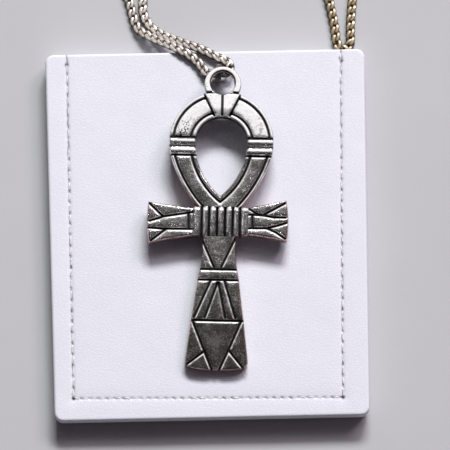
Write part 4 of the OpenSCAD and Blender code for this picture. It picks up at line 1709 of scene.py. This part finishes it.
@dataclass(frozen=True)
class SpringClasp:
    """A spring ring clasp lying flat, with its bolt, thumb knob and eye, and a jump ring on either side."""

    x: float = 5.5
    y: float = 119.5
    z: float = 0.6
    ring_r: float = 2.3
    tube_r: float = 0.54
    bolt_r: float = 0.28
    mouth_deg: float = 24.0
    mouth_round_deg: float = 3.0
    collar_deg: float = 30.0
    collar_proud: float = 0.03
    knob_off: float = 0.35
    knob_l: float = 0.72
    eye_r: float = 0.46
    eye_wire: float = 0.15
    eye_off: float = 0.42
    eye_down: float = 0.1
    jump_half: float = 0.82
    jump_high: float = 0.46
    jump_wire: float = 0.12
    jump_down: float = 0.15
    jump_lap: float = 0.43
    polish: float = 0.7

    # The thumb knob's profile: share of its length, and radius.
    KNOB = ((0, 0.34), (0.2, 0.28), (0.45, 0.26), (0.7, 0.42), (0.9, 0.36), (1.0, 0.02))

    def oval(
        self, x: float, y: float, upright: bool, half_u: float, half_v: float,
        wire: Array | float, segments: int, sides: int,
    ) -> tuple[Array, Array]:
        """A closed wire oval: middle plus half_u cos t along X plus half_v sin t along Y or Z.

        Args:
            x: X of the oval's middle.
            y: Y of the oval's middle.
            upright: Whether its second axis is Z and not Y.
            half_u: First half axis.
            half_v: Second half axis.
            wire: Radius of the wire, or one for each segment.
            segments: Number of rings.
            sides: Vertices in a ring.

        Returns:
            The vertices and the quads.
        """
        t = np.arange(segments)[:, None] * 2 * np.pi / segments
        u, v = np.array([1.0, 0.0, 0.0]), np.array([0.0, 0.0, 1.0] if upright else [0.0, 1.0, 0.0])
        path = np.array([x, y, self.z]) + half_u * np.cos(t) * u + half_v * np.sin(t) * v
        out = unit(half_v * np.cos(t) * u + half_u * np.sin(t) * v)
        up = np.broadcast_to(np.cross(u, v), out.shape)
        return tube_along(path, out, up, wire, sides), grid_faces(segments, sides, True, True)[:, ::-1]

    def ring(self) -> tuple[Array, Array]:
        """The clasp's own ring: a thick tube with rounded mouths, open on its right where the bolt crosses.

        Returns:
            The vertices and the quads.
        """
        segments = 96
        t = np.degrees(np.arange(segments) * 2 * np.pi / segments)
        off = np.abs(t % 360 - 180)
        mouth = ramp(off - self.mouth_deg, self.mouth_round_deg)
        collar = self.collar_proud * (np.abs(off - self.collar_deg) < self.mouth_round_deg)
        radius = self.bolt_r + (self.tube_r - self.bolt_r) * np.sqrt(mouth) + collar * mouth
        radius = np.minimum(radius, self.tube_r)
        return self.oval(self.x, self.y, False, self.ring_r, self.ring_r, radius, segments, 16)

    def knob(self) -> tuple[Array, Array]:
        """The thumb knob: a short waisted stem with a round head, on the ring's far side.

        Returns:
            The vertices and the quads, the ends closed with fans.
        """
        rings, sides = 14, 14
        s = np.linspace(0, 1, rings)
        radius = np.interp(s, *zip(*self.KNOB))
        y = self.y + self.ring_r + self.knob_off + s * self.knob_l
        path = np.stack([0 * s + self.x, y, 0 * s + self.z], axis=1)
        across, up = np.tile([1.0, 0.0, 0.0], (rings, 1)), np.tile([0.0, 0.0, 1.0], (rings, 1))
        fan = np.stack([0 * np.arange(sides - 2), np.arange(1, sides - 1), np.arange(2, sides)], axis=1)
        ends = np.vstack([fan + (rings - 1) * sides, fan[:, [0, 2, 1]]])
        faces = np.vstack([grid_faces(rings, sides, False, True), np.column_stack([ends, ends[:, 2]])])
        return tube_along(path, across, up, radius, sides), faces

    def build(self) -> list[Piece]:
        """The clasp as one piece and its eye and jump rings as another.

        Returns:
            Both pieces.
        """
        eye_x = self.x + self.ring_r + self.tube_r + self.eye_off
        right_x = eye_x + self.eye_down + self.jump_half
        left_x = self.x - self.ring_r + self.jump_lap - self.jump_half
        eye, jump = (self.eye_r, self.eye_r, self.eye_wire), (self.jump_half, self.jump_high, self.jump_wire)
        loops = [self.oval(eye_x, self.y - self.eye_down, False, *eye, 24, 10)]
        loops += [self.oval(x, self.y - self.jump_down, True, *jump, 28, 8) for x in (right_x, left_x)]
        made = []
        for name, parts in (("spring_clasp", [self.ring(), self.knob()]), ("jump_rings", loops)):
            offset = np.cumsum([0] + [len(p) for p, _ in parts[:-1]])
            points = np.vstack([p for p, _ in parts])
            faces = np.vstack([f + o for (_, f), o in zip(parts, offset)])
            level = np.full(len(points), self.polish)
            piece = make_piece(name, points, faces, {"cut": level * 0, "polish": level, "tint": level * 0.3})
            Finish.CHAIN.put_on(piece)
            made.append(piece)
        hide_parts("clasp")
        return made


# The display pad


@dataclass(frozen=True)
class DisplayPad:
    """The stitched leatherette pad: a folded skin with rounded edges, sewn channels and thread."""

    top_w: float = 52.6
    low_w: float = 50.8
    length: float = 61.0
    thick: float = 4.0
    corner: float = 1.4
    fold_r: float = 0.42
    seam_left: float = 22.32
    seam_right: float = 21.19
    seam_foot: float = 26.85
    seam_dip: float = 0.67
    channel_half: float = 0.3
    channel_deep: float = 0.1
    foot_share: float = 0.35
    pull_half: float = 1.1
    pull_deep: float = 0.05
    needle_r: float = 0.2
    needle_deep: float = 0.12
    foot_thread: float = 0.55
    side_pitch: float = 1.8
    foot_pitch: float = 1.35
    thread_r: float = 0.13
    stitch_sides: int = 8
    stitch_rings: int = 9
    sharp_deg: float = 70.0

    # Spacing of the skin's grid along X and along Y: elsewhere, and beside the seams.
    SPACING = ((0.2, 0.11), (0.22, 0.1))

    # The skin's sides from above: height, distance outwards, and painted shade at the foot end.
    SIDES = ((2.6, 0.03, 0.05), (1.9, 0.02, 0.2), (1.2, -0.05, 0.35), (0.6, -0.16, 0.55), (0.15, -0.3, 0.7),
             (0.0, -0.5, 0.85))

    # Slant of the stitches of the left, the right and the foot seam.
    SLANTS = (0.08, -0.08, 0.17)

    # Unevenness: pitch, seed and share.
    SWELL = ((9.0, 31, 0.03), (2.5, 32, 0.012))
    SEAM_BREAKS = ((0.8, 33, 0.6),)
    SEAM_WAVER = ((0.75, 34, 0.09),)

    def half_width(self, y: Array | float) -> Array | float:
        """Half width of the pad at a height along it."""
        share = (np.asarray(y) + self.length / 2) / self.length
        return (self.low_w + (self.top_w - self.low_w) * share) / 2

    def seams(self) -> list[Array]:
        """The three sewn lines: left, right and along the foot.

        Returns:
            Start and end point of each seam.
        """
        left, right = (-self.seam_left, -self.seam_foot), (self.seam_right, -self.seam_foot - self.seam_dip)
        return [
            np.array([left, (-self.seam_left - 0.43, self.length / 2)]),
            np.array([right, (self.seam_right + 1.2, self.length / 2)]),
            np.array([left, right]),
        ]

    def along_foot(self, seam: Array) -> bool:
        """Whether a seam runs across the pad, and not up it."""
        return abs(seam[1, 0] - seam[0, 0]) > abs(seam[1, 1] - seam[0, 1])

    def pitch(self, seam: Array) -> float:
        """Stitch length of a seam: shorter along the foot than along the sides."""
        return self.foot_pitch if self.along_foot(seam) else self.side_pitch

    def needle_points(self, seam: Array) -> Array:
        """Evenly spaced needle points along a seam, from its first end.

        Args:
            seam: Start and end point of the seam.

        Returns:
            The needle points.
        """
        run = seam[1] - seam[0]
        length = np.hypot(*run)
        count = int(length // self.pitch(seam))
        return seam[0] + run / length * (np.arange(count + 1) * self.pitch(seam))[:, None]

    def knots(self) -> Array:
        """Places where the seam was sewn over twice.

        Returns:
            X, Y and radius of each spot of painted shade.
        """
        left, right, foot = self.seams()
        top_left, top_right = left[1] - [0, 1.75], right[1] - [0.03, 1.5]
        beside = top_right - [-0.12, 0.45]
        places = ((top_left, 0.36), (top_right, 0.34), (foot[0], 0.3), (foot[1], 0.32), (beside, 0.3))
        return np.array([(*place, radius) for place, radius in places])

    def lines(self, half: float, at: Sequence[float], coarse: float, fine: float) -> Array:
        """Grid lines from -half to half, close together beside the fold at each end and beside given places.

        Args:
            half: Half the span.
            at: Places that need close lines.
            coarse: Spacing elsewhere.
            fine: Spacing beside those places.

        Returns:
            The lines in order.
        """
        step, near_seam = coarse / 4, 0.75
        fold = self.fold_r * (1 - np.sin(np.linspace(np.pi / 2, 0, 7)))
        core = np.arange(-half + self.fold_r, half - self.fold_r, step)
        near = np.min(np.abs(core[:, None] - np.asarray(at)), axis=1)
        pace = np.where(near < near_seam, fine, coarse)
        spent = np.concatenate([[0], np.cumsum(step / pace)[:-1]])
        inner = np.interp(np.arange(0, np.floor(spent[-1]) + 1), spent, core)
        parts = [-half + fold, inner, [half - self.fold_r], half - fold]
        return np.unique(np.round(np.concatenate(parts), 5))

    def top(self) -> tuple[Array, Array]:
        """The pad's top as a grid: its corners rounded, its edge folded over and its seams sunk.

        In a corner both coordinates draw in as those of a square mapped onto a disc.

        Returns:
            The points, as rows by columns by three, and the painted shade of the needle holes and seam lines
            at each.
        """
        seams, mid, half_l, c = self.seams(), self.top_w / 2, self.length / 2, self.corner
        xs = self.lines(mid, [seams[0][:, 0].mean(), seams[1][:, 0].mean()], *self.SPACING[0])
        ys = self.lines(half_l, [seams[2][:, 1].mean()], *self.SPACING[1])
        x, y = np.meshgrid(xs, ys)
        a, b = ramp(np.abs(x) - mid + c, c), ramp(np.abs(y) - half_l + c, c)
        both = (a > 0) & (b > 0)
        px = np.where(both, np.sign(x) * (mid - c + c * a * np.sqrt(1 - b * b / 2)), x)
        py = np.where(both, np.sign(y) * (half_l - c + c * b * np.sqrt(1 - a * a / 2)), y)
        px = px * self.half_width(py) / mid
        change, hole = self.dents(px, py)
        z = self.thick - shoulder(self.depth(px, py), self.fold_r, self.fold_r) + change
        return np.stack([px, py, z], axis=-1), hole

    def skin(self) -> Piece:
        """The leatherette: the top, and below its border the sides and the underside.

        Returns:
            The new piece.
        """
        grid, hole = self.top()
        rows, columns = hole.shape
        top = grid.reshape(-1, 3)
        number = np.arange(len(top)).reshape(rows, columns)
        loop = np.concatenate([number[0], number[1:, -1], number[-1, -2::-1], number[-2:0:-1, 0]])
        edge, count = top[loop], len(loop)
        outward = np.roll(edge, -1, axis=0) - np.roll(edge, 1, axis=0)
        outward = np.stack([outward[:, 1], -outward[:, 0]], axis=1)
        outward /= np.maximum(np.hypot(outward[:, 0], outward[:, 1]), SLACK**3)[:, None]
        at_foot = np.clip(-outward[:, 1], 0, 1)
        points, faces, shade = [top], [grid_faces(rows, columns)], [np.zeros(len(top))]
        above, first = loop, len(top)
        for height, move, foot_shade in self.SIDES:
            flat = edge[:, :2] + outward * (move - self.SIDES[0][1])
            points.append(np.column_stack([flat, np.full(count, height)]))
            below = first + np.arange(count)
            faces.append(np.stack([above, below, np.roll(below, -1), np.roll(above, -1)], axis=1))
            shade.append(at_foot * foot_shade)
            above, first = below, first + count
        under = geometry.delaunay_2d_cdt([Vector(p) for p in flat.tolist()], [], [], 0, 1e-7)
        triangles = np.array(under[2])[:, ::-1] + first - count
        faces.append(np.column_stack([triangles, triangles[:, 2]]))
        sides = np.zeros(count * len(self.SIDES))
        looks = {"hole": np.concatenate([hole.ravel(), sides]), "edge": np.concatenate(shade)}
        piece = make_piece("display_pad_skin", np.vstack(points), np.vstack(faces), looks, self.sharp_deg)
        return Finish.LEATHER.put_on(piece)

    def depth(self, x: Array, y: Array) -> Array:
        """Depth of points inside the pad's outline with its round corners, 0 at the outline."""
        half = self.half_width(y)
        return self.corner - to_box(x, y, half - self.corner, self.length / 2 - self.corner)

    def dents(self, x: Array, y: Array) -> tuple[Array, Array]:
        """The sewn channels and needle dents of the skin, and its soft unevenness.

        Each seam sinks the skin by a narrow bell, a wide one and one at each needle point. The left and the
        right seam get a broken line of painted shade that is tighter at its top, and the foot seam short
        slanting ones; painted shade also fills the needle holes.

        Args:
            x, y: The points.

        Returns:
            The height change, and the painted shade of the needle holes and seam lines at each point.
        """
        change = ripples(x, y, self.SWELL) - 0.03
        hole = np.zeros_like(x)
        for number, seam in enumerate(self.seams()):
            foot = self.along_foot(seam)
            off = to_line(x, y, seam.tolist())
            deep = self.channel_deep * (self.foot_share if foot else 1.0)
            change = change - deep * bell(off, self.channel_half) - self.pull_deep * bell(off, self.pull_half)
            pitch, length = self.pitch(seam), np.hypot(*(seam[1] - seam[0]))
            run = (seam[1] - seam[0]) / length
            at = (x - seam[0, 0]) * run[0] + (y - seam[0, 1]) * run[1]
            side = (y - seam[0, 1]) * run[0] - (x - seam[0, 0]) * run[1]
            place = np.clip(np.round(at / pitch), 0, int(length // pitch)) * pitch
            away = np.hypot((at - place) / 1.3, off)
            change = change - self.needle_deep * bell(away, self.needle_r)
            # Painted shade: a broken dark line along each seam and a dark spot in each needle hole.
            patchy = 0.5 + ripples(at, 7.0 * number + 0 * at, self.SEAM_BREAKS)
            wave = side - ripples(at, 5.0 * number + 0 * at, self.SEAM_WAVER)
            if foot:
                slant = np.hypot(np.maximum(np.abs(at - place) - 0.2, 0), side + 0.5 * (at - place))
                line = np.maximum(1.3 * patchy * bell(slant, 0.12), 0.3 * bell(wave, 0.09))
                spot = 0.8 * bell(away, 0.14) * patchy
            else:
                tight = np.clip(at / length * 3 - 1.9, 0, 1)
                strength = 0.5 + 0.24 * tight + 0.45 * patchy * (1 - tight)
                line = strength * bell(wave, 0.13 - 0.01 * tight)
                spot = 0.95 * bell(away, 0.19) * patchy * (1 - tight)
            on_seam = (at > -0.1) & (at < length + 0.1)
            hole = np.maximum(hole, np.where(on_seam, np.maximum(line, spot), 0))
        # Painted shade in the doubled needle holes.
        for knot_x, knot_y, radius in self.knots():
            away = ((x - knot_x) ** 2 + (y - knot_y) ** 2) / radius**2
            hole = np.maximum(hole, 0.95 * np.exp(-(away**1.5)))
        return change, np.clip(hole, 0, 1)

    def stitch_paths(self) -> tuple[Array, Array]:
        """Middle lines of the stitches: slanting threads that arch from hole to hole along each seam.

        Returns:
            The points, as stitches by rings by three, and each stitch's share of the thread's radius.
        """
        s = np.linspace(-1, 1, self.stitch_rings)
        chance = np.random.default_rng(51)
        paths, thick = [], []
        for seam, slant in zip(self.seams(), self.SLANTS):
            points = self.needle_points(seam)
            run = (seam[1] - seam[0]) / np.hypot(*(seam[1] - seam[0]))
            side = np.array([-run[1], run[0]])
            middle = (points[:-1] + points[1:]) / 2 + side * chance.uniform(-0.05, 0.05, (len(points) - 1, 1))
            lean = slant * chance.uniform(0.4, 1.6, (len(middle), 1, 1))
            half = self.pitch(seam) / 2 - chance.uniform(0.06, 0.2, (len(middle), 1, 1))
            path = middle[:, None] + s[None, :, None] * (run * half - side * lean)
            pulled_in = 0.12 * ramp(middle[:, 1:] - 9, 6)
            sunk = 0.05 + chance.uniform(0, 0.06, (len(middle), 1)) + pulled_in
            lift = self.thick - sunk - self.channel_deep * 0.6 - 0.14 * np.abs(s) ** 3.0
            paths.append(np.dstack([path, lift]))
            thin = self.foot_thread if self.along_foot(seam) else 1.0
            thick.append(chance.uniform(0.8, 1.1, len(middle)) * thin)
        return np.concatenate(paths), np.concatenate(thick)

    def thread(self) -> Piece:
        """The stitches: round threads that taper at both ends, where three quads close them.

        Returns:
            The new piece.
        """
        path, thick = self.stitch_paths()
        sides, rings = self.stitch_sides, self.stitch_rings
        run = unit(np.gradient(path, axis=1))
        across = unit(np.cross(run, [0.0, 0.0, 1.0]))
        s = np.abs(np.linspace(-1, 1, rings))
        taper = self.thread_r * np.sqrt(np.clip(1.02 - s**6, 0.02, 1)) * thick[:, None]
        points = tube_along(path, across, np.cross(across, run), taper, sides)
        start = np.array([[0, 7, 6, 5], [0, 5, 4, 3], [0, 3, 2, 1]])
        end = start[:, ::-1] + (rings - 1) * sides
        one = np.vstack([grid_faces(rings, sides, False, True), start, end])[:, ::-1]
        faces = (one[None] + (np.arange(len(path)) * rings * sides)[:, None, None]).reshape(-1, 4)
        log.info("pad_stitches: %d stitches", len(path))
        return Finish.THREAD.put_on(make_piece("pad_stitches", points, faces))

    def build(self) -> list[Piece]:
        """Builds the skin and the stitches.

        Returns:
            Both pieces.
        """
        skin, thread = self.skin(), self.thread()
        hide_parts("display_pad")
        return [skin, thread]


# The studio


@dataclass(frozen=True)
class Softbox:
    """One rectangular studio light, aimed at a point of the object."""

    name: str
    azimuth: float
    elevation: float
    distance: float
    width: float
    height: float
    watts: float
    colour: Triple
    aim: Triple = (0.002, 0.002, 0.004)

    def build(self) -> None:
        """Hangs the light; azimuth 0 stands at the foot side, as for the camera."""
        data = bpy.data.lights.new(self.name, "AREA")
        data.shape, data.size, data.size_y = "RECTANGLE", self.width, self.height
        data.energy, data.color = self.watts, self.colour
        lamp = bpy.data.objects.new(self.name, data)
        direction = direction_of(self.azimuth, self.elevation)
        lamp.location = Vector(self.aim) + direction * self.distance
        lamp.rotation_euler = (-direction).to_track_quat("-Z", "Y").to_euler()
        bpy.context.scene.collection.objects.link(lamp)


def direction_of(azimuth: float, elevation: float) -> Vector:
    """Unit vector towards a place seen at that azimuth and elevation from the object, in degrees."""
    a, e = np.radians(azimuth), np.radians(elevation)
    return Vector((np.sin(a) * np.cos(e), -np.cos(a) * np.cos(e), np.sin(e)))


@dataclass(frozen=True)
class Studio:
    """The camera at the photograph's angle, the lights, the world and the pale floor."""

    azimuth: float = -1.2
    elevation: float = 78.25
    distance: float = 0.6
    view_width: float = 0.07335
    sensor_mm: float = 36.0
    near_far: Pair = (0.01, 20.0)
    target: Triple = (0.00273, 0.00127, 0.004)
    world: float = 0.045
    world_colour: Colour = (1.0, 0.80, 0.94, 1)
    floor_half: float = 3.0
    floor_drop: float = 0.00005
    floor_tones: tuple[Colour, Colour] = ((0.50, 0.50, 0.52, 1), (0.54, 0.54, 0.56, 1))
    floor_roughness: float = 0.8
    lights: tuple[Softbox, ...] = (
        Softbox("key", 171.0, 42.5, 2.80, 1.10, 0.48, 84.0, (0.98, 1.0, 0.985)),
        Softbox("side", 138.0, 43.0, 2.80, 0.90, 0.80, 25.0, (1.0, 0.86, 0.95)),
        Softbox("top", 180.0, 59.5, 0.356, 0.34, 0.224, 0.11, (0.97, 0.98, 1.0)),
        Softbox("fill", 60.0, 30.0, 0.60, 0.20, 0.10, 0.09, (1.0, 0.80, 0.92)),
    )

    def build(self) -> None:
        """Sets up the camera, lights, world and floor."""
        scene = bpy.context.scene
        data = bpy.data.cameras.new("camera")
        data.sensor_width = self.sensor_mm
        data.lens = self.sensor_mm * self.distance / self.view_width
        data.clip_start, data.clip_end = self.near_far
        camera = bpy.data.objects.new("camera", data)
        direction = direction_of(self.azimuth, self.elevation)
        camera.location = Vector(self.target) + direction * self.distance
        camera.rotation_mode = "QUATERNION"
        camera.rotation_quaternion = (-direction).to_track_quat("-Z", "Y")
        scene.collection.objects.link(camera)
        scene.camera = camera
        for lamp in self.lights:
            lamp.build()
        world = bpy.data.worlds.new("studio")
        world.use_nodes = True
        backdrop = world.node_tree.nodes["Background"]
        backdrop.inputs["Color"].default_value = self.world_colour
        backdrop.inputs["Strength"].default_value = self.world
        scene.world = world
        scene.view_settings.view_transform = "Standard"
        self.floor()

    def floor(self) -> None:
        """A plain pale floor just under the object."""
        half, z = self.floor_half, -self.floor_drop
        mesh = bpy.data.meshes.new("floor")
        corners = [(-half, -half, z), (half, -half, z), (half, half, z), (-half, half, z)]
        mesh.from_pydata(corners, [], [(0, 1, 2, 3)])
        floor = bpy.data.objects.new("floor", mesh)
        bpy.context.scene.collection.objects.link(floor)
        material, build, shader = start_material("pale_floor")
        tone = build.mix(build.noise(build.place(), 60.0, 2.0), *self.floor_tones)
        build.feed(shader, {"Base Color": tone, "Roughness": self.floor_roughness})
        mesh.materials.append(material)


def main() -> None:
    """Builds every piece, puts it on the body and reports it."""
    logging.basicConfig(level=logging.INFO, format="%(name)s %(message)s")
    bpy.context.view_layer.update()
    Studio().build()
    for maker in (AnkhCasting(), CurbChain(), SpringClasp(), DisplayPad()):
        for piece in maker.build():
            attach(piece, "root")
            triangles = sum(len(face.vertices) - 2 for face in piece.data.polygons)
            log.info("%s: %d triangles", piece.name, triangles)


if __name__ == "__main__":
    main()
